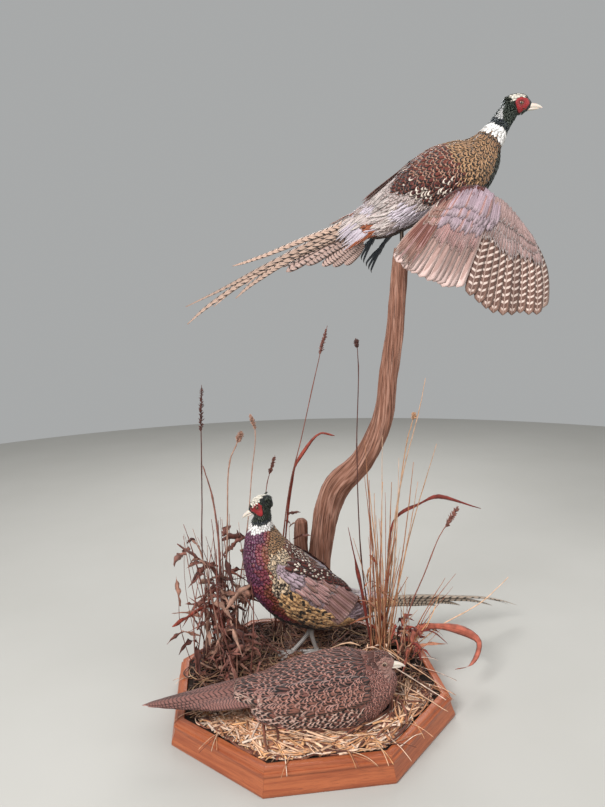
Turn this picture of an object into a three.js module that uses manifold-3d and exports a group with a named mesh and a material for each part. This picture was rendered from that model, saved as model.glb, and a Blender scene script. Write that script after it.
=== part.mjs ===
// A group mount of three ring-necked pheasants on an octagonal wooden base:
// a flying cock on a driftwood limb, a standing cock, a sitting hen and dry grasses.
// Millimetres, +Z up. The origin is the centre of the base's underside, and -Y is the front.

import * as THREE from "three";
import { mergeVertices } from "three/addons/utils/BufferGeometryUtils.js";
import Module from "manifold-3d";

const wasm = await Module();
wasm.setup();

// ---- driving dimensions ----

const gap = 0.35; // left between neighbouring pieces

const base = {
  acrossFlats: 530, // of the rim's outer top edge
  groundTop: 45,
  groundFloor: 33,
  rimWidth: 15,
};

// outset from the rim's outer edge and height, from the underside up and over into the recess
const baseProfile = [
  [8.5, 0], [10.5, 3], [9.8, 8], [6.6, 16], [3.8, 25], [2.6, 32], [3.8, 34.5], [3.8, 38],
  [0.4, 39], [0, 44.5], [-1.4, 46.6], [-3, 47], [-14, 47], [-15, 46], [-15, 33],
];

// centre line and radius of the driftwood limb, from the foot up
const limb = [
  [36, 212, 45.4, 35], [47, 208, 137, 29.5], [58, 195, 246, 26.5], [73, 172, 343, 28],
  [94, 150, 407, 28.5], [146, 125, 467, 25], [187, 106, 556, 22], [201, 96, 663, 20],
  [216, 95, 764, 18.5], [228, 95, 894, 16.5], [231, 95, 920, 15.5],
];
const limbStub = [
  [44, 206, 120, 15], [27, 203, 175, 17], [15, 198, 240, 16], [14, 195, 306, 15], [15, 195, 320, 11.5],
];
const rod = { radius: 4, bottom: 920.6, top: 1040, x: 231, y: 95 };

// where each bird is: its own frame has +X forward, +Y to its left and +Z to its back
const flyingPlace = { at: [311, 92, 1062], yaw: -2, pitch: 28, bank: 49 };
const flyingHeadPlace = { at: [476, 94, 1204], yaw: -22, pitch: -6, bank: 10 };
const standingPlace = { at: [5, 85, 45.4], yaw: 195, pitch: 0, bank: 0 };
const standingHeadPlace = { at: [94, 4, 357], yaw: -17, pitch: -28, bank: -5 };
const henPlace = { at: [20, -134, 45.4], yaw: 0, pitch: 0, bank: 0 };
const henHeadPlace = { at: [99, -4, 99], yaw: -5, pitch: -7, bank: 0 };

const headLength = 58; // of the flying cock, nape to bill root
const eyeRadius = 4.9;

const wing = {
  shoulder: [0, 45, 25], // the right wing mirrors the second value
  droopRight: 35,
  droopLeft: 62,
  leftChord: 0.82, // the far wing is drawn in more
  primaries: 10,
  secondaries: 9,
  arch: 8, // rise of the arm above the wing's plane
  archSpan: 150,
  cup: 0.00028, // fall of the sheet towards its tips
};

// forward and spanwise places in the wing's own plane
const wingArmFront = [[-38, 26], [4, 30], [32, 46], [48, 73]];
const wingArmTips = [[-184, 66], [-170, 105], [-162, 121], [-138, 149], [-124, 167], [-109, 181],
[-77, 198]];
const wingHandFront = [[48, 75], [63, 102], [78, 144], [88, 180]];
const wingHandTips = [[-79, 206], [-62, 243], [-49, 270], [-23, 292], [5, 302], [30, 321], [60, 311]];

// ---- general shape functions ----

const vec = (p) => new THREE.Vector3(p[0], p[1], p[2]);

// Closed body from rings of equal count; each end is capped by a fan round its middle.
function loft(rings) {
  const count = rings[0].length;
  const positions = [];
  const index = [];
  const add = (v) => positions.push(v.x, v.y, v.z) / 3 - 1;
  const first = rings.map((ring) => ring.map(add)[0]);
  for (let k = 0; k + 1 < rings.length; k++) {
    for (let j = 0; j < count; j++) {
      const next = (j + 1) % count;
      const [a, b, c, d] = [first[k] + j, first[k] + next, first[k + 1] + next, first[k + 1] + j];
      index.push(a, b, c, a, c, d);
    }
  }
  const middle = (ring) => ring.reduce((sum, v) => sum.add(v), new THREE.Vector3()).divideScalar(count);
  const low = add(middle(rings[0]));
  const high = add(middle(rings[rings.length - 1]));
  const last = first[rings.length - 1];
  for (let j = 0; j < count; j++) {
    const next = (j + 1) % count;
    index.push(low, first[0] + next, first[0] + j);
    index.push(high, last + j, last + next);
  }
  return facingOut(indexed(positions, index));
}

function indexed(positions, index) {
  const geometry = new THREE.BufferGeometry();
  geometry.setAttribute("position", new THREE.Float32BufferAttribute(positions, 3));
  geometry.setIndex(index);
  return geometry;
}

function facingOut(geometry) {
  const p = geometry.attributes.position;
  const index = Array.from(geometry.index.array);
  let volume = 0;
  for (let i = 0; i < index.length; i += 3) {
    const [a, b, c] = [0, 1, 2].map((k) => new THREE.Vector3().fromBufferAttribute(p, index[i + k]));
    volume += a.dot(b.cross(c));
  }
  if (volume < 0) {
    for (let i = 0; i < index.length; i += 3) {
      [index[i + 1], index[i + 2]] = [index[i + 2], index[i + 1]];
    }
    geometry.setIndex(index);
  }
  return geometry;
}

// Smooth values along a list of stations; each station may hold any count of numbers.
function alongStations(stations, t) {
  const width = stations[0].length;
  const out = [];
  for (let k = 0; k < width; k += 3) {
    const points = stations.map((s) => new THREE.Vector3(s[k], s[k + 1] ?? 0, s[k + 2] ?? 0));
    const p = new THREE.CatmullRomCurve3(points, false, "centripetal").getPoint(t);
    out.push(p.x, p.y, p.z);
  }
  return out.slice(0, width);
}

// Body of oval sections: stations are x, y, z, half width, half height, and side is the lateral direction.
function ovalBody(stations, { steps, sides, side = [0, 1, 0] }) {
  const lateral = vec(side).normalize();
  const samples = Array.from({ length: steps + 1 }, (_, i) => steadyStation(stations, i / steps));
  const rings = samples.map((s, i) => {
    const before = vec(samples[Math.max(0, i - 1)]);
    const after = vec(samples[Math.min(steps, i + 1)]);
    const tangent = after.sub(before).normalize();
    const up = new THREE.Vector3().crossVectors(tangent, lateral).normalize();
    const across = new THREE.Vector3().crossVectors(up, tangent).normalize();
    return ovalRing(vec(s), across, up, s[3], s[4], sides);
  });
  return loft(rings);
}

// Straight steps between stations keep thin ends from overshooting; curves join the middles.
function steadyStation(stations, t) {
  const place = alongStations(stations.map((s) => s.slice(0, 3)), t);
  const f = t * (stations.length - 1);
  const k = Math.min(stations.length - 2, Math.floor(f));
  const u = f - k;
  const ease = u * u * (3 - 2 * u) * 0.4 + u * 0.6;
  const blend = (n) => stations[k][n] + (stations[k + 1][n] - stations[k][n]) * ease;
  return [...place, blend(3), blend(stations[0].length > 4 ? 4 : 3)];
}

function ovalRing(centre, across, up, halfWidth, halfHeight, sides) {
  return Array.from({ length: sides }, (_, j) => {
    const angle = (2 * Math.PI * j) / sides;
    return centre.clone()
      .addScaledVector(across, halfWidth * Math.cos(angle))
      .addScaledVector(up, halfHeight * Math.sin(angle));
  });
}

// Round tube whose stations are x, y, z, radius.
function stem(stations, { steps, sides, knots = 0 }) {
  const samples = Array.from({ length: steps + 1 }, (_, i) => steadyStation(stations, i / steps));
  let across = null;
  const rings = samples.map((s, i) => {
    const before = vec(samples[Math.max(0, i - 1)]);
    const after = vec(samples[Math.min(steps, i + 1)]);
    const tangent = after.sub(before).normalize();
    if (!across) {
      across = new THREE.Vector3().crossVectors(tangent, new THREE.Vector3(0.3, 1, 0.2)).normalize();
    }
    across.addScaledVector(tangent, -across.dot(tangent)).normalize();
    const up = new THREE.Vector3().crossVectors(tangent, across);
    const ring = ovalRing(vec(s), across, up, s[3], s[3], sides);
    return ring.map((v, j) => {
      const angle = (2 * Math.PI * j) / sides;
      const swell = 1 + knots * (Math.cos(2 * angle + 0.23 * i) + 0.6 * Math.cos(3 * angle - 0.31 * i));
      return v.sub(vec(s)).multiplyScalar(swell).add(vec(s));
    });
  });
  return loft(rings);
}

// Flat-bottomed tubes: the first ring is pressed to one level.
function levelled(geometry, height, count) {
  const p = geometry.attributes.position;
  for (let j = 0; j < count; j++) {
    p.setZ(j, height);
  }
  p.setZ(p.count - 2, height);
  return geometry;
}

// Thin plate between a front curve and a curve of feather tips, scalloped at each feather.
function featherPlate({ front, tips, feathers, notch, rows, thickFront, thickTip, place, bow = 0 }) {
  const columns = feathers * 2;
  const upper = [];
  const lower = [];
  for (let j = 0; j <= columns; j++) {
    const t = j / columns;
    const start = alongStations(front, t);
    const end = alongStations(tips, t);
    const short = j % 2 === 0 ? notch : 0;
    for (let k = 0; k <= rows; k++) {
      const s = (k / rows) * (1 - short);
      const arch = bow * t * t * Math.sin(Math.PI * s);
      const at = [0, 1].map((n) => start[n] + (end[n] - start[n]) * s);
      const thick = (thickFront + (thickTip - thickFront) * Math.sqrt(s)) / 2;
      upper.push(place(at[0] + arch, at[1] + arch * 0.3, thick));
      lower.push(place(at[0] + arch, at[1] + arch * 0.3, -thick));
    }
  }
  return plateBetween(upper, lower, columns, rows);
}

function plateBetween(upper, lower, columns, rows) {
  const positions = [...upper, ...lower].flatMap((v) => [v.x, v.y, v.z]);
  const half = upper.length;
  const at = (j, k) => j * (rows + 1) + k;
  const index = [];
  for (let j = 0; j < columns; j++) {
    for (let k = 0; k < rows; k++) {
      const [a, b, c, d] = [at(j, k), at(j + 1, k), at(j + 1, k + 1), at(j, k + 1)];
      index.push(a, b, c, a, c, d);
      index.push(half + a, half + c, half + b, half + a, half + d, half + c);
    }
  }
  const wall = (a, b) => index.push(b, a, half + a, b, half + a, half + b);
  for (let j = 0; j < columns; j++) {
    wall(at(j, 0), at(j + 1, 0));
    wall(at(j + 1, rows), at(j, rows));
  }
  for (let k = 0; k < rows; k++) {
    wall(at(0, k + 1), at(0, k));
    wall(at(columns, k), at(columns, k + 1));
  }
  return facingOut(indexed(positions, index));
}

// Long blade such as a tail feather or leaf: stations are x, y, z, half width, half thickness.
const blade = (stations, steps) => ovalBody(stations, { steps, sides: 4 });

function ball(centre, radii, detail = 12) {
  const geometry = new THREE.SphereGeometry(1, detail, Math.round(detail * 0.7));
  geometry.scale(radii[0], radii[1], radii[2]);
  geometry.translate(centre[0], centre[1], centre[2]);
  return geometry;
}

// ---- joining and cutting ----

function cleaned(geometry) {
  const bare = geometry.clone();
  bare.deleteAttribute("normal");
  bare.deleteAttribute("uv");
  return mergeVertices(bare, 1e-4);
}

function solid(geometry) {
  const bare = cleaned(geometry);
  const vertProperties = new Float32Array(bare.attributes.position.array);
  const triVerts = new Uint32Array(bare.index.array);
  return new wasm.Manifold(new wasm.Mesh({ numProp: 3, vertProperties, triVerts }));
}

function surface(manifold) {
  const pieces = manifold.decompose();
  const largest = pieces.reduce((best, piece) => (piece.volume() > best.volume() ? piece : best));
  const mesh = largest.getMesh();
  return cleaned(indexed(Array.from(mesh.vertProperties), Array.from(mesh.triVerts)));
}

function joined(...geometries) {
  return surface(geometries.map(solid).reduce((sum, piece) => sum.add(piece)));
}

// The same shape with every point moved out along its normal.
function grown(geometry, by = gap) {
  const bare = cleaned(geometry);
  bare.computeVertexNormals();
  const p = bare.attributes.position;
  const n = bare.attributes.normal;
  for (let i = 0; i < p.count; i++) {
    p.setXYZ(i, p.getX(i) + n.getX(i) * by, p.getY(i) + n.getY(i) * by, p.getZ(i) + n.getZ(i) * by);
  }
  return bare;
}

function cutBy(geometry, ...neighbours) {
  const cuts = neighbours.map((piece) => solid(grown(piece)));
  return surface(cuts.reduce((rest, cut) => rest.subtract(cut), solid(geometry)));
}

// ---- placing ----

const root = new THREE.Group();

function turned({ at, yaw, pitch, bank }) {
  const angle = THREE.MathUtils.degToRad;
  const turn = new THREE.Euler(angle(bank), -angle(pitch), angle(yaw), "ZYX");
  return new THREE.Matrix4().makeRotationFromEuler(turn).setPosition(vec(at));
}

function placedGroup(place) {
  const group = new THREE.Group();
  group.applyMatrix4(turned(place));
  root.add(group);
  return group;
}

function addNode(name, geometry, color, roughness, group = root) {
  const material = new THREE.MeshStandardMaterial({ color, roughness, metalness: 0 });
  const mesh = new THREE.Mesh(geometry, material);
  mesh.name = name;
  group.add(mesh);
}

// ---- base, ground and driftwood ----

function octagonRing(halfAcross, z, perSide = 1) {
  const corner = halfAcross / Math.cos(Math.PI / 8);
  const corners = Array.from({ length: 8 }, (_, k) => {
    const angle = Math.PI / 8 + (k * Math.PI) / 4;
    return new THREE.Vector3(corner * Math.cos(angle), corner * Math.sin(angle), z);
  });
  return corners.flatMap((from, k) => {
    const to = corners[(k + 1) % 8];
    return Array.from({ length: perSide }, (_, n) => from.clone().lerp(to, n / perSide));
  });
}

function buildBase() {
  const half = base.acrossFlats / 2;
  const rings = baseProfile.map(([outset, z]) => octagonRing(half + outset, z));
  addNode("base_frame", loft(rings), 0xb5653c, 0.45);
}

function groundHeight(x, y) {
  const ripple = Math.sin(0.045 * x + 0.6) * Math.cos(0.052 * y - 0.4) + 0.5 * Math.sin(0.11 * x - 0.09 * y);
  return base.groundTop - 1.6 * Math.abs(ripple);
}

function buildGround() {
  const half = base.acrossFlats / 2 - base.rimWidth - gap;
  const perSide = 3;
  const shrink = [1, 0.88, 0.66, 0.44, 0.2];
  const top = shrink.map((s) => octagonRing(half * s, 0, perSide).map((v) => v.setZ(groundHeight(v.x, v.y))));
  const rings = [octagonRing(half, base.groundFloor + gap, perSide), ...top];
  addNode("ground", loft(rings), 0x3a2a20, 0.95);
}

function buildDriftwood() {
  const post = levelled(stem(limb, { steps: 20, sides: 10, knots: 0.06 }), limb[0][2], 10);
  addNode("driftwood_limb", post, 0x8a6a55, 0.8);
  const stub = cutBy(stem(limbStub, { steps: 5, sides: 8, knots: 0.05 }), post);
  addNode("driftwood_stub", stub, 0x8a6a55, 0.8);
}

// ---- flying cock ----

const cockColors = {
  head: 0x14201c,
  bill: 0xd8cfb4,
  eye: 0x2a1408,
  neck: 0xe8e4dc,
  trunk: 0x9a6430,
  wing: 0xa8988c,
  primaries: 0x93806f,
  tail: 0xb8957a,
  leg: 0x3c4048,
};

const flyingTrunk = [
  [-200, 0, -4, 36, 20], [-180, 0, -7, 40, 30], [-156, 0, -14, 44, 41], [-130, 0, -17, 46, 51],
  [-82, 0, -13, 52, 57],
  [-37, 0, -4, 61, 61], [1, 0, -1, 64, 63], [41, -3, -10, 61, 64], [62, -4, -16, 61, 66],
  [95, 2, -8, 48, 53], [118, 7, 4, 34, 37], [133, 11, 8, 12, 14],
];
const flyingNeck = [
  [92, 4, 0, 30], [118, 9, 6, 31], [140, 17, 11, 27], [155, 24, 15, 22],
  [173, 33, 20, 21.5], [190, 39, 23, 20.5], [204, 40, 24, 15],
];

// x, height above the axis, half height and half width of a cock's head, nape to bill root
function headStations(length) {
  const k = length / 62;
  return [
    [-33, 0, 1, 3, 3], [-29, 0, 1, 12, 14], [-19, 0, 1, 16, 20], [-5, 0, 1, 17.5, 22.5],
    [6, 0, 1, 16.5, 22], [16, 0, -0.5, 13.5, 18], [24, 0, -2.5, 9, 12.5], [29, 0, -4, 6, 8],
  ].map((s) => s.map((v) => v * k));
}

function billStations(length, upper) {
  const k = length / 62;
  const rows = upper
    ? [
      [20, 0, -1.5, 6, 6.2], [30, 0, -1.6, 5.6, 5.6], [38, 0, -1.8, 4.6, 4.6],
      [46, 0, -3.2, 3, 3], [52, 0, -5.6, 1, 1.2],
    ]
    : [[20, 0, -9, 5.2, 3.4], [30, 0, -8.7, 4.8, 2.7], [38, 0, -8.4, 3.8, 2], [45, 0, -8.3, 2, 1.1]];
  return rows.map((s) => s.map((v) => v * k));
}

function eyeBall(length, side, detail = 8) {
  const k = length / 62;
  return ball([7 * k, side * 12.4 * k, 3 * k],
  [eyeRadius * k, eyeRadius * k * 0.75, eyeRadius * k], detail);
}

function buildFlyingBody(group) {
  const inFlying = turned(flyingPlace).invert().multiply(turned(flyingHeadPlace));
  const inBird = (geometry) => geometry.applyMatrix4(inFlying);
  const trunk = ovalBody(flyingTrunk, { steps: 18, sides: 16 });
  const eyes = [1, -1].map((side) => inBird(eyeBall(headLength, side)));
  const upperBill = inBird(ovalBody(billStations(headLength, true), { steps: 5, sides: 8 }));
  const lowerBill = inBird(ovalBody(billStations(headLength, false), { steps: 4, sides: 6 }));
  const skull = inBird(ovalBody(headStations(headLength), { steps: 10, sides: 12 }));
  const neckTube = stem(flyingNeck, { steps: 8, sides: 12 });
  const neck = cutBy(neckTube, trunk, skull);
  const head = cutBy(skull, ...eyes);
  const upper = cutBy(upperBill, skull);
  addNode("flying_trunk", trunk, cockColors.trunk, 0.7, group);
  addNode("flying_neck", neck, cockColors.neck, 0.7, group);
  addNode("flying_head", head, cockColors.head, 0.5, group);
  addNode("flying_bill_upper", upper, cockColors.bill, 0.4, group);
  addNode("flying_bill_lower", cutBy(lowerBill, skull, upper), cockColors.bill, 0.4, group);
  addNode("flying_eye_left", eyes[0], cockColors.eye, 0.1, group);
  addNode("flying_eye_right", eyes[1], cockColors.eye, 0.1, group);
  return trunk;
}

// Place in a wing's plane to the bird's frame; the sheet bellies down towards its tips.
function wingPlacer(side, droop, chord) {
  const tilt = THREE.MathUtils.degToRad(droop);
  return (forward, span, up) => {
    const arch = wing.arch * Math.sin(Math.min(1, span / wing.archSpan) * Math.PI);
    const cup = up + arch - wing.cup * (span * span + 0.4 * forward * forward);
    const y = wing.shoulder[1] + span * Math.cos(tilt) + cup * Math.sin(tilt);
    const z = wing.shoulder[2] - span * Math.sin(tilt) + cup * Math.cos(tilt);
    return new THREE.Vector3(wing.shoulder[0] + forward * chord, side * y, z);
  };
}

function buildWing(group, trunk, name, side, droop, chord) {
  const place = wingPlacer(side, droop, chord);
  const armPlate = featherPlate({
    front: wingArmFront, tips: wingArmTips, feathers: wing.secondaries, notch: 0.05, rows: 4,
    thickFront: 16, thickTip: 1.4, place,
  });
  const handPlate = featherPlate({
    front: wingHandFront, tips: wingHandTips, feathers: wing.primaries, notch: 0.07, rows: 4,
    thickFront: 11, thickTip: 1.2, place, bow: 14,
  });
  const arm = cutBy(armPlate, trunk);
  addNode(`flying_wing_${name}_arm`, arm, cockColors.wing, 0.7, group);
  addNode(`flying_wing_${name}_hand`, cutBy(handPlate, arm), cockColors.primaries, 0.7, group);
}

// centre lines of the long tail feathers: x, y, z, half width, half thickness
const tailLong = [
  [-207, 1, 5, 9, 2.2], [-260, 6, 3, 9.5, 0.9], [-310, 11, 1, 9, 0.8], [-375, 20, 0, 8.5, 0.8],
  [-444, 22, 0, 8, 0.7], [-498, 17, 0, 6.5, 0.7], [-554, 9, 0, 4, 0.6], [-599, -4, 0, 1, 0.5],
];
const tailLongFar = [
  [-207, 9, 5.6, 9, 2.2], [-310, 19, 2.8, 8, 0.8], [-420, 27, 1.4, 6.5, 0.7], [-500, 31, 1, 4, 0.6],
  [-586, 40, 0, 1, 0.5],
];
const tailHigh = [
  [-207, 17, 6.4, 9, 2.2], [-255, 20, 6.4, 9, 1], [-318, 34, 7, 8, 0.8], [-382, 46, 7, 6, 0.7],
  [-437, 60, 7, 3.5, 0.6], [-459, 68, 6, 1, 0.5],
];

// One side of the roof-shaped tail, from beside the middle feathers out to the shortest.
const tailSideTips = [[-395, 6], [-335, 12], [-300, 30], [-276, 42], [-246, 50]];
const tailSideRoots = [[-207, 3], [-207, 12], [-207, 22], [-207, 30], [-207, 36]];
const tailRoof = 0.6; // fall of the tail's sides for each millimetre outward

function buildTail(group) {
  const middle = joined(blade(tailLong, 8), blade(tailLongFar, 5), blade(tailHigh, 6));
  addNode("flying_tail_middle", middle, cockColors.tail, 0.7, group);
  for (const [name, side] of [["left", 1], ["right", -1]]) {
    const place = (x, y, up) => new THREE.Vector3(x, side * y, up - 3.2 - tailRoof * y);
    const plate = featherPlate({
      front: tailSideRoots, tips: tailSideTips, feathers: 4, notch: 0.2, rows: 2,
      thickFront: 2, thickTip: 1.2, place,
    });
    addNode(`flying_tail_${name}`, cutBy(plate, middle), cockColors.tail, 0.7, group);
  }
}

const toeFan = [-0.5, -0.12, 0.28];
const hindSteps = { steps: 2, sides: 5 };

function buildFlyingLegs(group, trunk) {
  for (const [name, side] of [["left", 1], ["right", -1]]) {
    const y = side * 17;
    const shank = stem(
      [[-112, y, -40, 8], [-138, y, -60, 5.5], [-158, y, -74, 3.6]],
      { steps: 3, sides: 6 },
    );
    const palm = ball([-162, y, -78], [7.5, 6, 5.5], 6);
    const toes = toeFan.map((spread) => stem([
      [-162, y, -79, 3.4], [-180, y + spread * 14, -90, 2.9], [-197, y + spread * 26, -105, 2.3],
      [-206, y + spread * 30, -118, 0.8],
    ], { steps: 3, sides: 5 }));
    const hind = stem([[-160, y, -79, 2.8], [-166, y, -90, 2.2], [-172, y, -98, 0.7]], hindSteps);
    const foot = joined(palm, hind, ...toes);
    addNode(`flying_foot_${name}`, foot, cockColors.leg, 0.6, group);
    addNode(`flying_shank_${name}`, cutBy(shank, trunk, foot), cockColors.leg, 0.6, group);
  }
}

function buildFlyingCock() {
  const group = placedGroup(flyingPlace);
  const trunk = buildFlyingBody(group);
  buildWing(group, trunk, "right", -1, wing.droopRight, 1);
  buildWing(group, trunk, "left", 1, wing.droopLeft, wing.leftChord);
  buildTail(group);
  buildFlyingLegs(group, trunk);
  const pin = new THREE.CylinderGeometry(rod.radius, rod.radius, rod.top - rod.bottom, 16);
  pin.rotateX(Math.PI / 2);
  pin.translate(rod.x, rod.y, (rod.top + rod.bottom) / 2);
  const trunkInPlace = trunk.clone().applyMatrix4(turned(flyingPlace));
  addNode("support_rod", cutLow(pin, trunkInPlace), 0x55504a, 0.5);
}

// Of a pin cut through by a body, only the length below it is kept.
function cutLow(pin, body) {
  const pieces = solid(pin).subtract(solid(grown(body))).decompose();
  pieces.sort((a, b) => a.boundingBox().min[2] - b.boundingBox().min[2]);
  return surface(pieces[0]);
}

// ---- standing cock, in one piece ----

const standingTrunk = [
  [-196, 0, 90, 30, 14], [-150, 0, 94, 38, 24], [-100, 0, 96, 48, 41], [-40, 0, 114, 59, 62],
  [14, 0, 152, 65, 75], [56, 0, 198, 65, 72], [80, 0, 245, 56, 57], [90, 0, 284, 38, 41],
  [92, 0, 312, 26, 28],
];
const standingHeadLength = 54;
const standingNeck = [
  [91, 0, 290, 32], [91, 1, 312, 25], [90, 3, 331, 20.5], [90, 4, 347, 18.5], [91, 4, 359, 13.5],
];
const standingTail = [
  [-180, 0, 92, 30, 9], [-230, 0, 88, 24, 5], [-300, 0, 77, 17, 3], [-390, 0, 57, 12, 2],
  [-480, 0, 36, 8, 1.2], [-540, 0, 14, 5, 0.9], [-580, 0, -6, 1.2, 0.7],
];
const standingWing = [
  [72, 50, 238, 8, 18], [40, 58, 216, 13, 34], [0, 60, 184, 13, 42], [-40, 55, 150, 12, 42],
  [-85, 42, 110, 9, 32], [-115, 34, 82, 5, 18], [-128, 30, 66, 1.5, 4],
];

function leg(y, footX) {
  const shank = stem(
    [[-14, y, 80, 16], [-16, y, 62, 9], [-13, y, 44, 4.6], [footX, y, 8, 4.2]],
    { steps: 4, sides: 6 },
  );
  const palm = ball([footX, y, 5.6], [8, 7, 5.2], 6);
  const toes = [-0.5, 0, 0.5].map((spread) => stem([
    [footX, y, 5.4, 4], [footX + 20, y + spread * 22, 4.2, 3.4], [footX + 38, y + spread * 40, 3.4, 2.6],
    [footX + 46, y + spread * 46, 1.6, 0.9],
  ], { steps: 3, sides: 4 }));
  const hind = stem([[footX, y, 6, 3], [footX - 12, y, 3.4, 2.2], [footX - 18, y, 1.6, 0.9]], hindSteps);
  return [shank, palm, hind, ...toes];
}

function headPieces(length, place) {
  const matrix = turned(place);
  return [
    ovalBody(headStations(length), { steps: 7, sides: 10 }),
    ovalBody(billStations(length, true), { steps: 4, sides: 6 }),
    ovalBody(billStations(length, false), { steps: 3, sides: 6 }),
    eyeBall(length, 1, 6),
    eyeBall(length, -1, 6),
  ].map((geometry) => geometry.applyMatrix4(matrix));
}

function buildStandingCock() {
  const wings = [1, -1].map((side) => ovalBody(
    standingWing.map(([x, y, z, w, h]) => [x, side * y, z, w, h]),
    { steps: 6, sides: 6 },
  ));
  const body = joined(
    ovalBody(standingTrunk, { steps: 11, sides: 12 }),
    stem(standingNeck, { steps: 4, sides: 10 }),
    ovalBody(standingTail, { steps: 6, sides: 6 }),
    ...wings,
    ...headPieces(standingHeadLength, standingHeadPlace),
    ...leg(24, -14),
    ...leg(-24, 4),
  );
  addNode("standing_cock", body, 0x7a4630, 0.7, placedGroup(standingPlace));
}

// ---- sitting hen, in one piece ----

const henTrunk = [
  [-172, 0, 66, 22, 14], [-140, 0, 62, 38, 30], [-112, 0, 50, 54, 51], [-80, 0, 46, 63, 62],
  [-40, 0, 48, 69, 68], [0, 0, 50, 72, 73], [45, 0, 52, 71, 73], [80, 0, 54, 60, 62],
  [106, 0, 54, 44, 47], [121, 0, 52, 28, 32], [129, 0, 50, 12, 15],
];
const henNeck = [[64, 0, 70, 40], [80, -1, 84, 33], [92, -3, 94, 26], [99, -4, 100, 18]];
const henTail = [
  [-130, 0, 72, 36, 10], [-200, 2, 64, 33, 6], [-260, 4, 57, 26, 4], [-310, 8, 50, 15, 2.4],
  [-343, 12, 45, 2, 0.8],
];
const henTailSide = [0, 0.97, 0.24]; // the tail is rolled towards the bird's right
const henHeadLength = 58;

function buildHen() {
  const body = solid(joined(
    ovalBody(henTrunk, { steps: 12, sides: 14 }),
    stem(henNeck, { steps: 3, sides: 10 }),
    ovalBody(henTail, { steps: 5, sides: 6, side: henTailSide }),
    ...headPieces(henHeadLength, henHeadPlace),
  ));
  const floor = new THREE.BoxGeometry(900, 400, 60);
  floor.translate(0, 0, -30);
  addNode("sitting_hen", surface(body.subtract(solid(floor))), 0x8a6f58, 0.75, placedGroup(henPlace));
}

// ---- dry stalks, seed heads and leaves, in tufts that share a root crown ----

// Stalks of one tuft as x, y, z, radius stations from the crown up; a stalk may swell to a seed head.
const tufts = {
  grass_left: {
    crown: [-178, 88, 30],
    stalks: [
      [[-186, 92, 50, 2.6], [-210, 98, 276, 2.2], [-205, 100, 408, 2], [-199, 100, 538, 3],
       [-196, 100, 597, 4.4],
        [-193, 100, 650, 1]],
      [[-172, 90, 50, 5], [-173, 85, 236, 4.6], [-174, 80, 349, 4], [-181, 75, 423, 3.6],
       [-196, 70, 489, 2.6]],
      [[-179, 90, 50, 3], [-156, 85, 322, 2.4], [-143, 80, 494, 2.6], [-129, 80, 525, 5],
       [-117, 80, 556, 1.2]],
      [[-168, 94, 50, 2.6], [-116, 120, 306, 2], [-96, 130, 460, 1.8], [-86, 130, 545, 4],
       [-95, 130, 585, 1]],
      [[-162, 98, 50, 2.4], [-112, 120, 167, 2], [-79, 130, 346, 2], [-64, 130, 435, 4.2],
       [-47, 130, 490, 1]],
      [[-174, 90, 60, 5], [-173, 85, 188, 5], [-189, 75, 259, 6], [-222, 65, 294, 6.5], [-259, 60, 330, 3]],
      [[-174, 90, 70, 4], [-193, 70, 181, 5], [-240, 40, 177, 7], [-275, 20, 169, 3]],
    ],
  },
  grass_back: {
    crown: [-52, 200, 20],
    stalks: [
      [[-55, 200, 50, 3], [-35, 200, 222, 2.6], [-8, 200, 404, 2.2], [19, 200, 506, 1.8],
       [62, 200, 679, 2.6],
        [75, 200, 721, 4.6], [87, 200, 765, 1]],
      [[-50, 204, 50, 3], [-28, 204, 222, 2.8], [-6, 204, 400, 2.6], [10, 200, 460, 4], [64, 196, 521, 3],
        [98, 194, 513, 1]],
    ],
  },
  grass_middle: {
    crown: [160, 48, 26],
    stalks: [
      [[155, 50, 50, 2.6], [129, 60, 256, 2.2], [122, 64, 511, 2], [128, 66, 693, 3], [126, 66, 718, 4.4],
        [122, 66, 743, 1]],
      [[166, 50, 50, 2.6], [185, 48, 258, 2.4], [212, 44, 437, 2.2], [249, 40, 587, 1.8],
       [263, 40, 655, 1]],
      [[174, 54, 50, 2.6], [208, 56, 386, 2.2], [231, 60, 527, 3.4], [240, 60, 557, 4.4],
       [247, 60, 585, 1]],
      [[169, 52, 50, 3], [185, 56, 211, 2.8], [202, 60, 350, 2.6], [248, 62, 375, 4], [300, 70, 389, 5],
        [407, 90, 352, 1]],
      [[149, 46, 50, 3], [120, 40, 228, 3.6], [96, 36, 350, 1.2]],
    ],
  },
  grass_right: {
    crown: [226, 46, 20],
    stalks: [
      [[214, 56, 50, 2.6], [232, 56, 142, 2.4], [266, 58, 221, 2.2], [300, 60, 302, 3], [323, 60, 337, 6],
        [343, 60, 369, 1.2]],
      [[228, 46, 50, 4], [247, 46, 99, 7], [304, 30, 110, 8], [371, 10, 85, 7], [335, -40, 61, 4.5],
        [295, -60, 66, 1.2]],
      [[222, 50, 50, 2.4], [300, 50, 104, 2.2], [384, 45, 150, 2], [448, 40, 210, 1]],
    ],
  },
};

function buildTufts() {
  for (const [name, { crown, stalks }] of Object.entries(tufts)) {
    const clod = ball([crown[0], crown[1], 53], [crown[2], crown[2] * 0.8, 8], 8);
    const stems = stalks.map((s) => stem(s, { steps: s.length + 1, sides: 3 }));
    const tuft = cutBelow(joined(clod, ...stems), base.groundTop + gap);
    addNode(name, tuft, 0x9a6a42, 0.85);
  }
}

function cutBelow(geometry, height) {
  const slab = new THREE.BoxGeometry(900, 900, 100);
  slab.translate(0, 0, height - 50);
  return surface(solid(geometry).subtract(solid(slab)));
}

buildBase();
buildGround();
buildDriftwood();
buildFlyingCock();
buildStandingCock();
buildHen();
buildTufts();

export default root;
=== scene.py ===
import math

import bpy
import numpy as np
from mathutils import Matrix, Vector
from mathutils.bvhtree import BVHTree


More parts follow.
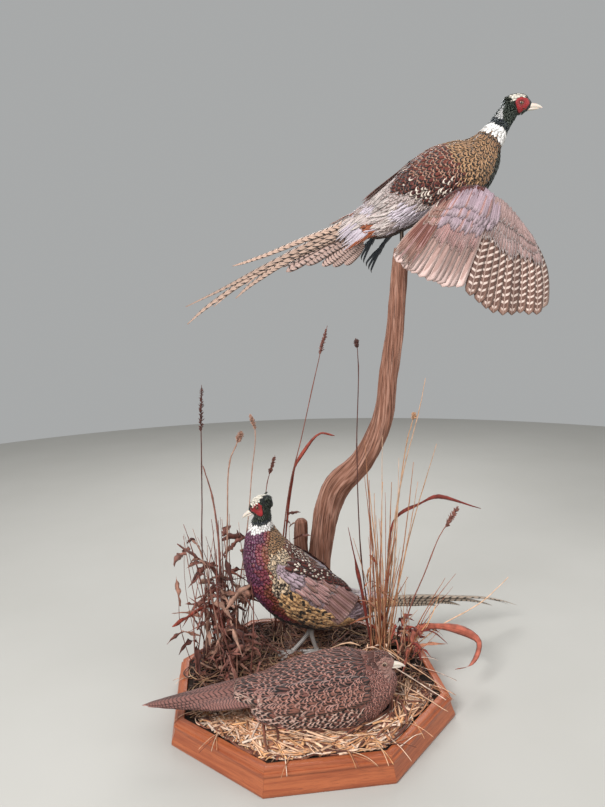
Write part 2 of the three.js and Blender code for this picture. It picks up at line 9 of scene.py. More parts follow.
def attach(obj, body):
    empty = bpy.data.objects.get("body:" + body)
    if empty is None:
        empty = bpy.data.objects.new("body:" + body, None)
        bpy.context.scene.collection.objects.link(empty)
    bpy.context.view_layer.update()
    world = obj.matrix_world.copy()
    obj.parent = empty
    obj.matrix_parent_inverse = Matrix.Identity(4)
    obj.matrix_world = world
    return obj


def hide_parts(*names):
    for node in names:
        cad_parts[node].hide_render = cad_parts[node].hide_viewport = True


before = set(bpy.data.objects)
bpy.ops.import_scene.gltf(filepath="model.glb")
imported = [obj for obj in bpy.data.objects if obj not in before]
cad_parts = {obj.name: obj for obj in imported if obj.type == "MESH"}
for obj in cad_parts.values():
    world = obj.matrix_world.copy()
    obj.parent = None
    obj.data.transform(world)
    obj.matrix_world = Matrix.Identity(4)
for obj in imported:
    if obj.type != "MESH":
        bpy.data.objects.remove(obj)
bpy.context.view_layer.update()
mm = 0.001  # every list of places below is in millimetres


# Camera, floor and light

studio = {
    "eye": (-142.3, -1250.0, 807.2),
    "yaw": 6.65,
    "pitch": 8.46,  # down
    "roll": -1.64,
    "lens": 650 / 605 * 36,  # mm, for a sensor 36 mm wide
    "floor": "#B9B7B2",
    "floorMottle": "#B1AFA9",
    "floorRadius": 3.4,  # metres
    "air": "#D6D8D8",
    "airStrength": 0.58,
    # place, aim, size and watts of the soft boxes
    "lamps": [
        ((-1500, -1700, 2300), (60, 60, 560), 1300, 92),
        ((1700, -1300, 1500), (60, 60, 500), 1700, 22),
        ((300, 1900, 2100), (60, 60, 700), 1300, 34),
    ],
}


def linear(text):
    # sRGB hex to the linear colour that the shaders take
    parts = [int(text[i:i + 2], 16) / 255 for i in (1, 3, 5)]
    return tuple(c / 12.92 if c <= 0.04045 else ((c + 0.055) / 1.055) ** 2.4 for c in parts) + (1.0,)


def addNode(tree, kind, settings=None, inputs=None, out=0):
    # adds one shader node, sets it up and gives back the output that is used next
    node = tree.nodes.new("ShaderNode" + kind)
    for key, value in (settings or {}).items():
        setattr(node, key, value)
    for key, value in (inputs or {}).items():
        if isinstance(value, bpy.types.NodeSocket):
            tree.links.new(value, node.inputs[key])
        else:
            node.inputs[key].default_value = value
    return node if out is None else node.outputs[out]


def newMaterial(name, finish):
    material = bpy.data.materials.new(name)
    material.use_nodes = True
    shader = material.node_tree.nodes["Principled BSDF"]
    for key, value in finish.items():
        shader.inputs[key].default_value = value
    return material, material.node_tree


def dressed(material, colour, relief=None, strength=1.0, distance=0.001):
    # joins a finish's colour and its fine relief to the shader, and gives the material back
    tree = material.node_tree
    shader = tree.nodes["Principled BSDF"]
    tree.links.new(colour, shader.inputs["Base Color"])
    if relief is not None:
        bump = addNode(tree, "Bump", inputs={"Strength": strength, "Distance": distance, "Height": relief})
        tree.links.new(bump, shader.inputs["Normal"])
    return material


def buildStudio():
    yaw, pitch, roll = (math.radians(studio[k]) for k in ("yaw", "pitch", "roll"))
    ahead = Vector((math.sin(yaw) * math.cos(pitch), math.cos(yaw) * math.cos(pitch), -math.sin(pitch)))
    level = Vector((math.cos(yaw), -math.sin(yaw), 0))
    upright = level.cross(ahead)
    right = math.cos(roll) * level + math.sin(roll) * upright
    up = math.cos(roll) * upright - math.sin(roll) * level
    lens = bpy.data.cameras.new("camera")
    lens.sensor_fit = "HORIZONTAL"
    lens.sensor_width = 36
    lens.lens = studio["lens"]
    lens.clip_start = 0.05
    camera = bpy.data.objects.new("camera", lens)
    bpy.context.collection.objects.link(camera)
    turn = Matrix((right, up, -ahead)).transposed().to_4x4()
    camera.matrix_world = Matrix.Translation(Vector(studio["eye"]) * mm) @ turn
    bpy.context.scene.camera = camera

    for n, (place, aim, size, watts) in enumerate(studio["lamps"]):
        light = bpy.data.lights.new(f"softBox{n}", "AREA")
        light.shape = "DISK"
        light.size = size * mm
        light.energy = watts
        lamp = bpy.data.objects.new(f"softBox{n}", light)
        bpy.context.collection.objects.link(lamp)
        lamp.location = Vector(place) * mm
        lamp.rotation_euler = (Vector(aim) - Vector(place)).to_track_quat("-Z", "Y").to_euler()

    world = bpy.data.worlds.new("studioAir")
    world.use_nodes = True
    background = world.node_tree.nodes["Background"]
    background.inputs["Color"].default_value = linear(studio["air"])
    background.inputs["Strength"].default_value = studio["airStrength"]
    bpy.context.scene.world = world
    bpy.context.scene.view_settings.view_transform = "Standard"

    # painted studio board: even, matt, with a trace of roller texture
    material, tree = newMaterial("paintedBoard", {"Roughness": 0.85})
    place = addNode(tree, "TexCoord", out=3)
    mottle = addNode(tree, "TexNoise", inputs={"Vector": place, "Scale": 3.0, "Detail": 3.0})
    tint = addNode(tree, "Mix", {"data_type": "RGBA"},
                   {0: mottle, 6: linear(studio["floor"]), 7: linear(studio["floorMottle"])}, 2)
    roller = addNode(tree, "TexNoise", inputs={"Vector": place, "Scale": 900.0})
    mesh = bpy.data.meshes.new("floor")
    radius = studio["floorRadius"]
    ring = [(radius * math.cos(a), radius * math.sin(a), 0)
            for a in np.linspace(0, 2 * math.pi, 96, endpoint=False)]
    mesh.from_pydata(ring, [], [tuple(range(96))])
    mesh.materials.append(dressed(material, tint, roller, 0.1, 0.0004))
    floor = bpy.data.objects.new("floor", mesh)
    bpy.context.collection.objects.link(floor)


buildStudio()
print("studio ready")


# Shapes

def curvePoint(points, t):
    # smooth curve through the points, the same one that the solids follow
    last = len(points) - 1
    i = min(int(t * last), last - 1)
    w = t * last - i
    p1, p2 = points[i], points[i + 1]
    p0 = points[i - 1] if i > 0 else 2 * p1 - p2
    p3 = points[i + 2] if i + 2 <= last else 2 * p2 - p1
    d0, d1, d2 = (max(1e-4, float(np.linalg.norm(b - a))) ** 0.5 for a, b in ((p0, p1), (p1, p2), (p2, p3)))
    m1 = ((p1 - p0) / d0 - (p2 - p0) / (d0 + d1) + (p2 - p1) / d1) * d1
    m2 = ((p2 - p1) / d1 - (p3 - p1) / (d1 + d2) + (p3 - p2) / d2) * d1
    return p1 + m1 * w + (3 * p2 - 3 * p1 - 2 * m1 - m2) * w ** 2 + (2 * p1 - 2 * p2 + m1 + m2) * w ** 3


def sampled(stations, steps):
    rows = np.array(stations, float)
    out = []
    for i in range(steps + 1):
        t = i / steps
        f = t * (len(rows) - 1)
        k = min(len(rows) - 2, int(f))
        u = f - k
        ease = u * u * (3 - 2 * u) * 0.4 + u * 0.6
        out.append(np.concatenate([curvePoint(rows[:, :3], t),
                                   rows[k, 3:] + (rows[k + 1, 3:] - rows[k, 3:]) * ease]))
    return np.array(out)


def unit(v):
    return v / np.maximum(np.linalg.norm(v, axis=-1, keepdims=True), 1e-9)


def tangentsOf(points):
    return unit(np.gradient(points, axis=0))


def arcOf(points):
    # length along a line up to each of its points
    return np.concatenate([[0], np.cumsum(np.linalg.norm(np.diff(points, axis=0), axis=1))])


def roundAngles(count):
    return np.linspace(0, 2 * math.pi, count, endpoint=False)


def carriedFrame(points, start=(0.3, 1, 0.2)):
    # across and up along a line, with no sudden turning
    tangents = tangentsOf(points)
    across = np.zeros_like(points)
    side = np.cross(tangents[0], np.array(start, float))
    for i, t in enumerate(tangents):
        side = side - t * np.dot(side, t)
        side = side / max(np.linalg.norm(side), 1e-9)
        across[i] = side
    return across, np.cross(tangents, across)


def ringsRound(points, across, up, wide, high, angle):
    # rings round a line; wide and high hold a value for each ring, or for each point of each ring
    return (points[:, None] + across[:, None] * (wide * np.cos(angle))[..., None]
            + up[:, None] * (high * np.sin(angle))[..., None])


def ovalRings(stations, steps, sides, inset=0.0):
    # stations of place, half width and half height; the rings stand square to the line
    rows = sampled(stations, steps)
    tangents = tangentsOf(rows[:, :3])
    up = unit(np.cross(tangents, np.array([0.0, 1.0, 0.0])))
    across = unit(np.cross(up, tangents))
    wide = np.maximum(rows[:, 3:4] - inset, 0.5)
    high = np.maximum(rows[:, 4:5] - inset, 0.4)
    return ringsRound(rows[:, :3], across, up, wide, high, roundAngles(sides))


def tubeRings(stations, steps, sides, inset=0.0):
    # stations of place and radius
    rows = sampled(stations, steps)
    across, up = carriedFrame(rows[:, :3])
    radius = np.maximum(rows[:, 3:4] - inset, 0.25)
    return ringsRound(rows[:, :3], across, up, radius, radius, roundAngles(sides))


def ringShape(rings, data=None):
    # closed body from rings, each end capped round its middle
    n, sides = rings.shape[:2]
    verts = np.concatenate([rings.reshape(-1, 3), rings[0].mean(0)[None], rings[-1].mean(0)[None]])
    k, j = np.meshgrid(np.arange(n - 1), np.arange(sides), indexing="ij")
    nextJ = (j + 1) % sides
    quads = np.stack([k * sides + j, k * sides + nextJ, (k + 1) * sides + nextJ, (k + 1) * sides + j], -1)
    j = np.arange(sides)
    nextJ = (j + 1) % sides
    low = np.stack([np.full(sides, n * sides), nextJ, j], -1)
    top = (n - 1) * sides
    high = np.stack([np.full(sides, n * sides + 1), top + j, top + nextJ], -1)
    shape = {"verts": verts, "quads": quads.reshape(-1, 4), "tris": np.concatenate([low, high]), "data": {}}
    v = verts[shape["quads"]]
    volume = np.einsum("ij,ij->", v[:, 0] - rings.mean((0, 1)),
                       np.cross(v[:, 1] - v[:, 0], v[:, 2] - v[:, 0]))
    if volume < 0:
        shape["quads"] = shape["quads"][:, ::-1]
        shape["tris"] = shape["tris"][:, ::-1]
    for key, rows in (data or {}).items():
        # one row for each ring, or one for each point of each ring
        rows = np.asarray(rows, float)
        full = rows if rows.ndim == 3 else np.repeat(rows[:, None], sides, 1)
        shape["data"][key] = np.concatenate([full.reshape(-1, full.shape[-1]), full[0].mean(0)[None],
                                             full[-1].mean(0)[None]])
    return shape


def joinShapes(shapes):
    offset = np.cumsum([0] + [len(s["verts"]) for s in shapes[:-1]])
    joined = {key: np.concatenate([s[key] + o if key != "verts" else s[key] for s, o in zip(shapes, offset)])
              for key in ("verts", "quads", "tris")}
    joined["data"] = {key: np.concatenate([s["data"][key] for s in shapes]) for key in shapes[0]["data"]}
    return joined


def turned(place):
    yaw, pitch, bank = (math.radians(place[k]) for k in ("yaw", "pitch", "bank"))
    matrix = (Matrix.Translation(Vector(place["at"])) @ Matrix.Rotation(yaw, 4, "Z")
              @ Matrix.Rotation(-pitch, 4, "Y") @ Matrix.Rotation(bank, 4, "X"))
    return np.array(matrix)


def moved(points, matrix):
    return points @ matrix[:3, :3].T + matrix[:3, 3]


# how many numbers an attribute has for each point, its type and its field
attributeKinds = {1: ("FLOAT", "value"), 3: ("FLOAT_VECTOR", "vector"), 4: ("FLOAT_COLOR", "color")}


def meshFrom(name, shape):
    mesh = bpy.data.meshes.new(name)
    quads, tris = shape["quads"], shape["tris"]
    loops = np.concatenate([quads.reshape(-1), tris.reshape(-1)]).astype(np.int32)
    starts = np.concatenate([np.arange(len(quads)) * 4,
                             len(quads) * 4 + np.arange(len(tris)) * 3]).astype(np.int32)
    mesh.vertices.add(len(shape["verts"]))
    mesh.vertices.foreach_set("co", shape["verts"].astype(np.float32).ravel())
    mesh.loops.add(len(loops))
    mesh.loops.foreach_set("vertex_index", loops)
    mesh.polygons.add(len(starts))
    mesh.polygons.foreach_set("loop_start", starts)
    mesh.update(calc_edges=True)
    for key, values in shape["data"].items():
        values = values.astype(np.float32)
        if key == "OFBake":
            mesh.uv_layers.new(name=key).data.foreach_set("uv", values[loops].ravel())
            continue
        kind, field = attributeKinds[values.shape[1]]
        mesh.attributes.new(key, kind, "POINT").data.foreach_set(field, values.ravel())
    mesh.validate()
    return mesh


def buildPiece(name, shape, material, replaced=(), place=None, sharp=None):
    # one visible piece from a shape in millimetres; replaced are the solids that it stands for
    points = moved(shape["verts"], place) if place is not None else shape["verts"]
    mesh = meshFrom(name, dict(shape, verts=points * mm))
    mesh.polygons.foreach_set("use_smooth", np.ones(len(mesh.polygons), bool))
    if sharp:
        mesh.set_sharp_from_angle(angle=math.radians(sharp))
    mesh.materials.append(material)
    piece = bpy.data.objects.new(name, mesh)
    bpy.context.collection.objects.link(piece)
    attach(piece, "root")
    if replaced:
        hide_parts(*replaced)
    return piece


def noiseAt(points, seed, size):
    # smooth seeded variation between -1 and 1 made of a few turned waves
    rng = np.random.default_rng(seed)
    total = np.zeros(points.shape[:-1])
    for _ in range(7):
        direction = unit(rng.normal(size=3))
        total += np.sin(points @ direction * (2 * math.pi / (size * rng.uniform(0.6, 1.7)))
                        + rng.uniform(0, 6.3))
    return total / 3.2


# Plumage finish

def plumageMaterial(name, finish, barbs, wobble=0.16):
    # Feather keratin: soft satin vanes of fine barbs that run out from the shaft towards the tip.
    material, tree = newMaterial(name, finish)
    vane, marks, spots = (addNode(tree, "Attribute", {"attribute_name": key}, out=1)
                          for key in ("vane", "marks", "spots"))
    parts, marks, spots = (addNode(tree, "SeparateXYZ", inputs={0: given}, out=None).outputs
                           for given in (vane, marks, spots))
    side = addNode(tree, "Math", {"operation": "ABSOLUTE"}, {0: parts[0]})
    tip = addNode(tree, "MapRange", inputs={0: parts[1], 1: 0.55, 2: 1.0, 3: 0.0, 4: 1.0})
    reach = addNode(tree, "VectorMath", {"operation": "LENGTH"},
                    {0: addNode(tree, "CombineXYZ", inputs={0: parts[0], 1: tip, 2: 0.0})}, 1)
    spread = addNode(tree, "VectorMath", {"operation": "MULTIPLY"}, {0: vane, 1: (3.0, 9.0, 41.0)})
    ragged = addNode(tree, "TexNoise", inputs={"Vector": spread, "Scale": 1.0, "Detail": 3.0})
    shift = addNode(tree, "MapRange", inputs={0: ragged, 1: 0.0, 2: 1.0, 3: -wobble, 4: wobble})
    reach = addNode(tree, "Math", {"operation": "ADD"}, {0: reach, 1: shift})

    past = addNode(tree, "Math", {"operation": "SUBTRACT"}, {0: reach, 1: marks[0]})
    band = addNode(tree, "MapRange", inputs={0: past, 1: -0.05, 2: 0.05, 3: 0.0, 4: 1.0})
    # bars: marks z is how many, spots z is how far from the shaft they start
    bent = addNode(tree, "Math", {"operation": "MULTIPLY_ADD"}, {0: side, 1: 0.035, 2: parts[1]})
    bent = addNode(tree, "Math", {"operation": "MULTIPLY_ADD"}, {0: shift, 1: 0.12, 2: bent})
    phase = addNode(tree, "Math", {"operation": "MULTIPLY"}, {0: bent, 1: marks[2]})
    turn = addNode(tree, "Math", {"operation": "MULTIPLY"}, {0: phase, 1: 2 * math.pi})
    wave = addNode(tree, "Math", {"operation": "SINE"}, {0: turn})
    bars = addNode(tree, "MapRange", inputs={0: wave, 1: 0.3, 2: 0.72, 3: 0.0, 4: 1.0})
    outer = addNode(tree, "Math", {"operation": "SUBTRACT"}, {0: side, 1: spots[2]})
    outer = addNode(tree, "MapRange", inputs={0: outer, 1: -0.08, 2: 0.08, 3: 0.0, 4: 1.0})
    bars = addNode(tree, "Math", {"operation": "MULTIPLY"}, {0: bars, 1: outer})
    barred = addNode(tree, "MapRange", inputs={0: marks[2], 1: 0.4, 2: 0.6, 3: 0.0, 4: 1.0})
    bars = addNode(tree, "Math", {"operation": "MULTIPLY"}, {0: bars, 1: barred})
    # one round spot near the tip
    drop = addNode(tree, "MapRange", {"clamp": False}, {0: parts[1], 1: 0.84, 2: 1.0, 3: 0.0, 4: 0.5})
    away = addNode(tree, "VectorMath", {"operation": "LENGTH"},
                   {0: addNode(tree, "CombineXYZ", inputs={0: parts[0], 1: drop, 2: 0.0})}, 1)
    away = addNode(tree, "Math", {"operation": "SUBTRACT"}, {0: away, 1: spots[0]})
    spot = addNode(tree, "MapRange", inputs={0: away, 1: -0.06, 2: 0.06, 3: 1.0, 4: 0.0})
    dark = addNode(tree, "Math", {"operation": "MAXIMUM"}, {0: band, 1: bars})
    dark = addNode(tree, "Math", {"operation": "MAXIMUM"}, {0: dark, 1: spot})

    inner, middle, rim = (addNode(tree, "Attribute", {"attribute_name": key})
                          for key in ("inner", "band", "rim"))
    colour = addNode(tree, "Mix", {"data_type": "RGBA"}, {0: dark, 6: inner, 7: middle}, 2)
    past = addNode(tree, "Math", {"operation": "SUBTRACT"}, {0: reach, 1: marks[1]})
    edge = addNode(tree, "MapRange", inputs={0: past, 1: -0.04, 2: 0.04, 3: 0.0, 4: 1.0})
    colour = addNode(tree, "Mix", {"data_type": "RGBA"}, {0: edge, 6: colour, 7: rim}, 2)
    # the shaft, a pale or dark line
    quill = addNode(tree, "MapRange", inputs={0: side, 1: 0.04, 2: 0.09, 3: 1.0, 4: 0.0})
    quill = addNode(tree, "Math", {"operation": "MULTIPLY"}, {0: quill, 1: spots[1]})
    shaft = addNode(tree, "Attribute", {"attribute_name": "shaft"})
    colour = addNode(tree, "Mix", {"data_type": "RGBA"}, {0: quill, 6: colour, 7: shaft}, 2)
    # barbs, and a shade of its own for each feather
    slant = addNode(tree, "Math", {"operation": "MULTIPLY_ADD"}, {0: side, 1: -0.108, 2: parts[1]})
    barb = addNode(tree, "Math", {"operation": "SINE"},
                   {0: addNode(tree, "Math", {"operation": "MULTIPLY"}, {0: slant, 1: barbs * 2 * math.pi})})
    shade = addNode(tree, "MapRange", {"clamp": False}, {0: barb, 1: -1.0, 2: 1.0, 3: 0.93, 4: 1.05})
    own = addNode(tree, "MapRange", inputs={0: parts[2], 1: 0.0, 2: 1.0, 3: 0.8, 4: 1.16})
    shade = addNode(tree, "Math", {"operation": "MULTIPLY"}, {0: shade, 1: own})
    soft = addNode(tree, "MapRange", inputs={0: ragged, 1: 0.3, 2: 0.7, 3: 0.9, 4: 1.08})
    shade = addNode(tree, "Math", {"operation": "MULTIPLY"}, {0: shade, 1: soft})
    colour = addNode(tree, "VectorMath", {"operation": "SCALE"}, {0: colour, "Scale": shade})
    height = addNode(tree, "Math", {"operation": "MULTIPLY_ADD"}, {0: quill, 1: 2.0, 2: barb})
    return dressed(material, colour, height, 0.5, 0.00015)


# satin contour feathers, whose surface spreads light widely
contourMaterial = plumageMaterial("featherContour", {"Roughness": 0.62, "Sheen Weight": 0.15, "IOR": 1.54,
                                                      "Specular IOR Level": 0.35}, 22)
# structural colour of neck and breast: a thin film over melanin gives green and violet glints
glossMaterial = plumageMaterial("featherIridescent", {
    "Roughness": 0.36, "IOR": 1.56, "Specular IOR Level": 0.6, "Thin Film Thickness": 420.0,
    "Thin Film IOR": 1.7}, 16)
# stiff flight and tail feathers, smoother than the contour ones
quillMaterial = plumageMaterial("featherQuill", {"Roughness": 0.5, "Sheen Weight": 0.1, "IOR": 1.54,
                                                  "Specular IOR Level": 0.4}, 110, wobble=0.1)

# Feather kinds: inner, band and rim colours, shaft colour; where band and rim start (0 shaft to 1 outline),
# how many bars, spot size, how strong the shaft shows, how far from the shaft the bars start.
feathers = {
    "black": ("#0A0F0D", "#0C1411", "#070A0C", "#050505", 0.7, 0.9, 0, 0, 0, 0),
    "violet": ("#15122A", "#131B22", "#0A0A16", "#050505", 0.6, 0.85, 0, 0, 0, 0),
    "crown": ("#3B372C", "#2C2B22", "#1E1E18", "#1A1812", 0.6, 0.85, 0, 0, 0.2, 0),
    "brow": ("#E9E0D0", "#F0EADD", "#DCD2BF", "#C8BCA6", 0.6, 0.9, 0, 0, 0.1, 0),
    "nape": ("#B9B8B6", "#C9C8C6", "#A2A2A1", "#8A8A88", 0.6, 0.88, 0, 0, 0.2, 0),
    "ring": ("#F2EEEA", "#F8F5F2", "#F0EBE6", "#E0DAD2", 0.6, 0.92, 0, 0, 0.1, 0),
    "collar": ("#A87E5A", "#140C08", "#C9A284", "#1A110C", 0.3, 0.8, 0, 0, 0.5, 0),
    "mantle": ("#A87E5A", "#140905", "#C0966E", "#2A160E", 0.4, 0.7, 0, 0, 0.5, 0),
    "mantleLow": ("#703021", "#1A0A07", "#C7967E", "#27110A", 0.5, 0.78, 0, 0, 0.3, 0),
    "scapular": ("#5A1E16", "#160907", "#A0604A", "#2A0F0A", 0.5, 0.84, 0, 0, 0.3, 0),
    "scapularDot": ("#42140F", "#EFE2D2", "#5A2218", "#2A0F0A", 2.0, 1.9, 0, 0.36, 0.2, 0),
    "scapularSpot": ("#42140F", "#EADBCB", "#42140F", "#2A0F0A", 0.58, 0.82, 0, 0, 0.2, 0),
    "shoulder": ("#DCC0A0", "#1E100B", "#E8D2B8", "#2A100B", 0.44, 0.7, 0, 0, 0.3, 0),
    "breast": ("#5E2C50", "#74385A", "#2A1228", "#2A1020", 0.4, 0.82, 0, 0, 0.2, 0),
    "breastCopper": ("#7A3830", "#8E4E3E", "#2C1210", "#2A1010", 0.4, 0.82, 0, 0, 0.2, 0),
    "breastRose": ("#772C42", "#8E3E50", "#2E1018", "#2A1018", 0.4, 0.82, 0, 0, 0.2, 0),
    "breastDark": ("#21100F", "#2C1614", "#0E0808", "#100808", 0.6, 0.86, 0, 0, 0.1, 0),
    "flank": ("#DCAE7A", "#120A07", "#E4BE8C", "#B98A58", 2.0, 1.9, 0, 0.56, 0.2, 0),
    "flankPale": ("#DCC0A0", "#1A0E0A", "#EAD4BA", "#B99A78", 2.0, 1.9, 0, 0.5, 0.2, 0),
    "flankPlain": ("#DCAE7A", "#CE9C68", "#E4BE8C", "#B98A58", 0.6, 0.85, 0, 0, 0.2, 0),
    "belly": ("#140E0C", "#1E1512", "#0C0807", "#0C0807", 0.6, 0.86, 0, 0, 0, 0),
    "rump": ("#C0B2BC", "#CEC2CA", "#DAD0D6", "#98888E", 0.5, 0.8, 0, 0, 0.3, 0),
    "rumpSpeckled": ("#B4A29E", "#6A5650", "#DCCCC6", "#6A6058", 0.55, 0.74, 0, 0, 0.2, 0),
    "rumpGreen": ("#C2B2AE", "#CEC0BA", "#DACEC8", "#8E8078", 0.5, 0.8, 0, 0, 0.3, 0),
    "vent": ("#3A2218", "#4A2A1C", "#2A1A14", "#1C100C", 0.6, 0.85, 0, 0, 0.1, 0),
    "rust": ("#8A4522", "#A4572C", "#6E3318", "#5A2A14", 0.6, 0.85, 0, 0, 0.2, 0),
    "covert": ("#B098A2", "#BCA6AE", "#957F88", "#76626A", 0.5, 0.88, 0, 0, 0.4, 0),
    "covertStreak": ("#B88F8B", "#C69E9A", "#E3BEB8", "#713630", 0.5, 0.84, 0, 0, 1.0, 0),
    "covertBrown": ("#A0776C", "#B38B80", "#D6AFA4", "#4A2922", 0.5, 0.84, 0, 0, 1.0, 0),
    "covertPale": ("#B49793", "#A0837E", "#E6D4D2", "#7A5850", 0.4, 0.78, 0, 0, 0.8, 0),
    "tertial": ("#7C4A3E", "#9E786C", "#D2B6AA", "#4A1E16", 0.34, 0.8, 0, 0, 0.9, 0),
    "secondary": ("#95756C", "#B29087", "#DCBEB6", "#E2C5BC", 0.4, 0.84, 0, 0, 0.9, 0),
    "primary": ("#6A483C", "#E2CCC0", "#8E6C5E", "#C8AC9E", 2.0, 0.93, 14, 0, 0.6, 0.1),
    "primaryFirst": ("#745246", "#E0CCC0", "#A88A7C", "#D2BCAE", 2.0, 0.9, 14, 0, 0.7, 0.1),
    "primaryFolded": ("#503229", "#BA9482", "#987466", "#A7826F", 2.0, 0.9, 11, 0, 0.5, 0.1),
    "tail": ("#B89A88", "#241410", "#CBB0A0", "#8E6C5C", 2.0, 1.9, 26, 0, 0.5, 0.2),
    "tailSide": ("#B2958A", "#2A1712", "#CBB0A2", "#8E6C5C", 2.0, 1.9, 15, 0, 0.5, 0.12),
    "tailOlive": ("#A08E7C", "#211610", "#B6A492", "#7A6654", 2.0, 1.9, 27, 0, 0.5, 0.2),
    "henCrown": ("#643930", "#27120D", "#B47E70", "#27120F", 0.36, 0.7, 0, 0, 0.2, 0),
    "henFace": ("#AF8175", "#875B4F", "#CBA296", "#835F53", 0.42, 0.76, 0, 0, 0.1, 0),
    "henNeck": ("#8D564B", "#27100C", "#C98F82", "#552B21", 0.36, 0.68, 0, 0, 0.2, 0),
    "henBack": ("#5F352E", "#140806", "#B98477", "#9E6A5D", 0.3, 0.76, 0, 0, 0.5, 0),
    "henWing": ("#7C4E41", "#1B0B08", "#C28C7D", "#A67060", 0.42, 0.76, 0, 0, 0.5, 0),
    "henFlank": ("#8A574B", "#160805", "#CCA696", "#2E1410", 0.42, 0.74, 0, 0, 0.3, 0),
    "henBelly": ("#BC7766", "#9B5D4D", "#DC9080", "#895344", 0.55, 0.8, 0, 0, 0.1, 0),
    "henTail": ("#855950", "#371A15", "#B48379", "#553129", 2.0, 0.9, 27, 0, 0.5, 0.05),
}
kindNames = list(feathers)
kindColours = np.array([[linear(c) for c in row[:4]] for row in feathers.values()])
kindNumbers = np.array([row[4:] for row in feathers.values()], float)

sections = {
    4: (np.array([-1, 0, 1, 0.0]), np.array([0, 1, 0, -1.0])),
    8: (np.array([-1, -0.5, 0, 0.5, 1, 0.5, 0, -0.5]), np.array([0, 0.75, 1, 0.75, 0, -0.75, -1, -0.75])),
}
caps = {
    4: (np.array([[0, 1, 2, 3]]), np.zeros((0, 3), int)),
    8: (np.array([[1, 2, 6, 7], [2, 3, 5, 6]]), np.array([[0, 1, 7], [3, 4, 5]])),
}


def featherShape(rows, seed, thick=0.35, camber=0.14, tilt=0.0, lead=1.0, sides=4, long=False):
    # closed thin vanes; a row is centre line, up, half widths, kind and the root's place on the map
    lines, ups, halves, kinds, roots = zip(*rows)
    lines = np.array(lines, float)
    ups = np.array([np.broadcast_to(up, lines.shape[1:]) for up in ups], float)
    halves = np.array(halves, float)
    count, steps = lines.shape[:2]
    tangents = unit(np.gradient(lines, axis=1))
    ups = unit(ups - tangents * np.sum(ups * tangents, -1, keepdims=True))
    across = np.cross(tangents, ups)
    u, h = sections[sides]
    lateral = halves[..., None] * u
    widest = halves.max(1)[:, None, None]
    body = np.minimum(1.0, halves / (halves.max(1)[:, None] * 0.5 + 1e-9))
    sag = camber * lateral ** 2 / np.maximum(widest, 0.5)
    rise = thick * h * body[..., None] - sag + lateral * np.asarray(tilt)
    verts = lines[:, :, None] + across[:, :, None] * lateral[..., None] + ups[:, :, None] * rise[..., None]
    rng = np.random.default_rng(seed)
    v = np.broadcast_to(np.linspace(0, 1, steps)[None, :, None], lateral.shape)
    own = np.broadcast_to(rng.uniform(0, 1, count)[:, None, None], lateral.shape)
    vane = np.stack([lateral / widest * np.reshape(lead, (-1, 1, 1)), v, own], -1)
    kinds = [kindNames.index(kind) for kind in kinds]
    colours = np.repeat(kindColours[kinds], steps * sides, 0)
    numbers = np.repeat(kindNumbers[kinds], steps * sides, 0)
    if long:
        # each long feather has a strip of its own in the map
        strip = (np.arange(count)[:, None, None] + 0.5 + 0.45 * lateral / widest) / count
        uv = np.stack([strip, 0.02 + 0.96 * v], -1)
    else:
        root = np.asarray(roots, float)[:, None, None]
        uv = root + 0.003 * np.stack([0.5 * lateral / widest, v - 0.5], -1)
    base = (np.arange(count)[:, None] * steps + np.arange(steps - 1)[None])[..., None] * sides
    j = np.arange(sides)
    nextJ = (j + 1) % sides
    quads = np.stack([base + j, base + nextJ, base + sides + nextJ, base + sides + j], -1).reshape(-1, 4)
    capQuads, capTris = caps[sides]
    first = (np.arange(count) * steps * sides)[:, None, None]
    last = first + (steps - 1) * sides
    quads = np.concatenate([quads, (first + capQuads[:, ::-1]).reshape(-1, 4),
                            (last + capQuads).reshape(-1, 4)])
    tris = np.concatenate([(first + capTris[:, ::-1]).reshape(-1, 3), (last + capTris).reshape(-1, 3)])
    data = {
        "vane": vane.reshape(-1, 3), "inner": colours[:, 0], "band": colours[:, 1], "rim": colours[:, 2],
        "shaft": colours[:, 3], "marks": numbers[:, :3], "spots": numbers[:, 3:6],
        "OFBake": uv.reshape(-1, 2),
    }
    return {"verts": verts.reshape(-1, 3), "quads": quads, "tris": tris, "data": data}


# how contour feathers grow: length and half width as shares of the gap between their rows,
# how high root and tip stand, and how far the tips swing aside
contour = {"long": 2.5, "wide": 0.66, "rise": (0.2, 2.4), "rough": 0.08}
contourOutline = np.array([0.42, 0.8, 1.0, 0.93, 0.12])
# the kinds whose gloss needs the iridescent finish
glossKinds = {"black", "violet", "breast", "breastRose", "breastDark", "breastCopper"}


def bladeHalves(steps, widest, rootShare, roundFrom, swell):
    # half width along a long feather: slender root, even blade, rounded tip
    v = np.linspace(0, 1, steps)
    grow = rootShare + (1 - rootShare) * np.clip(v / swell, 0, 1) ** 0.7
    tip = np.sqrt(np.clip(1 - (np.clip(v - roundFrom, 0, 1) / (1 - roundFrom)) ** 2, 0.004, 1))
    return widest * grow * tip


# A bird's skin, its axis and the lie of its feathers

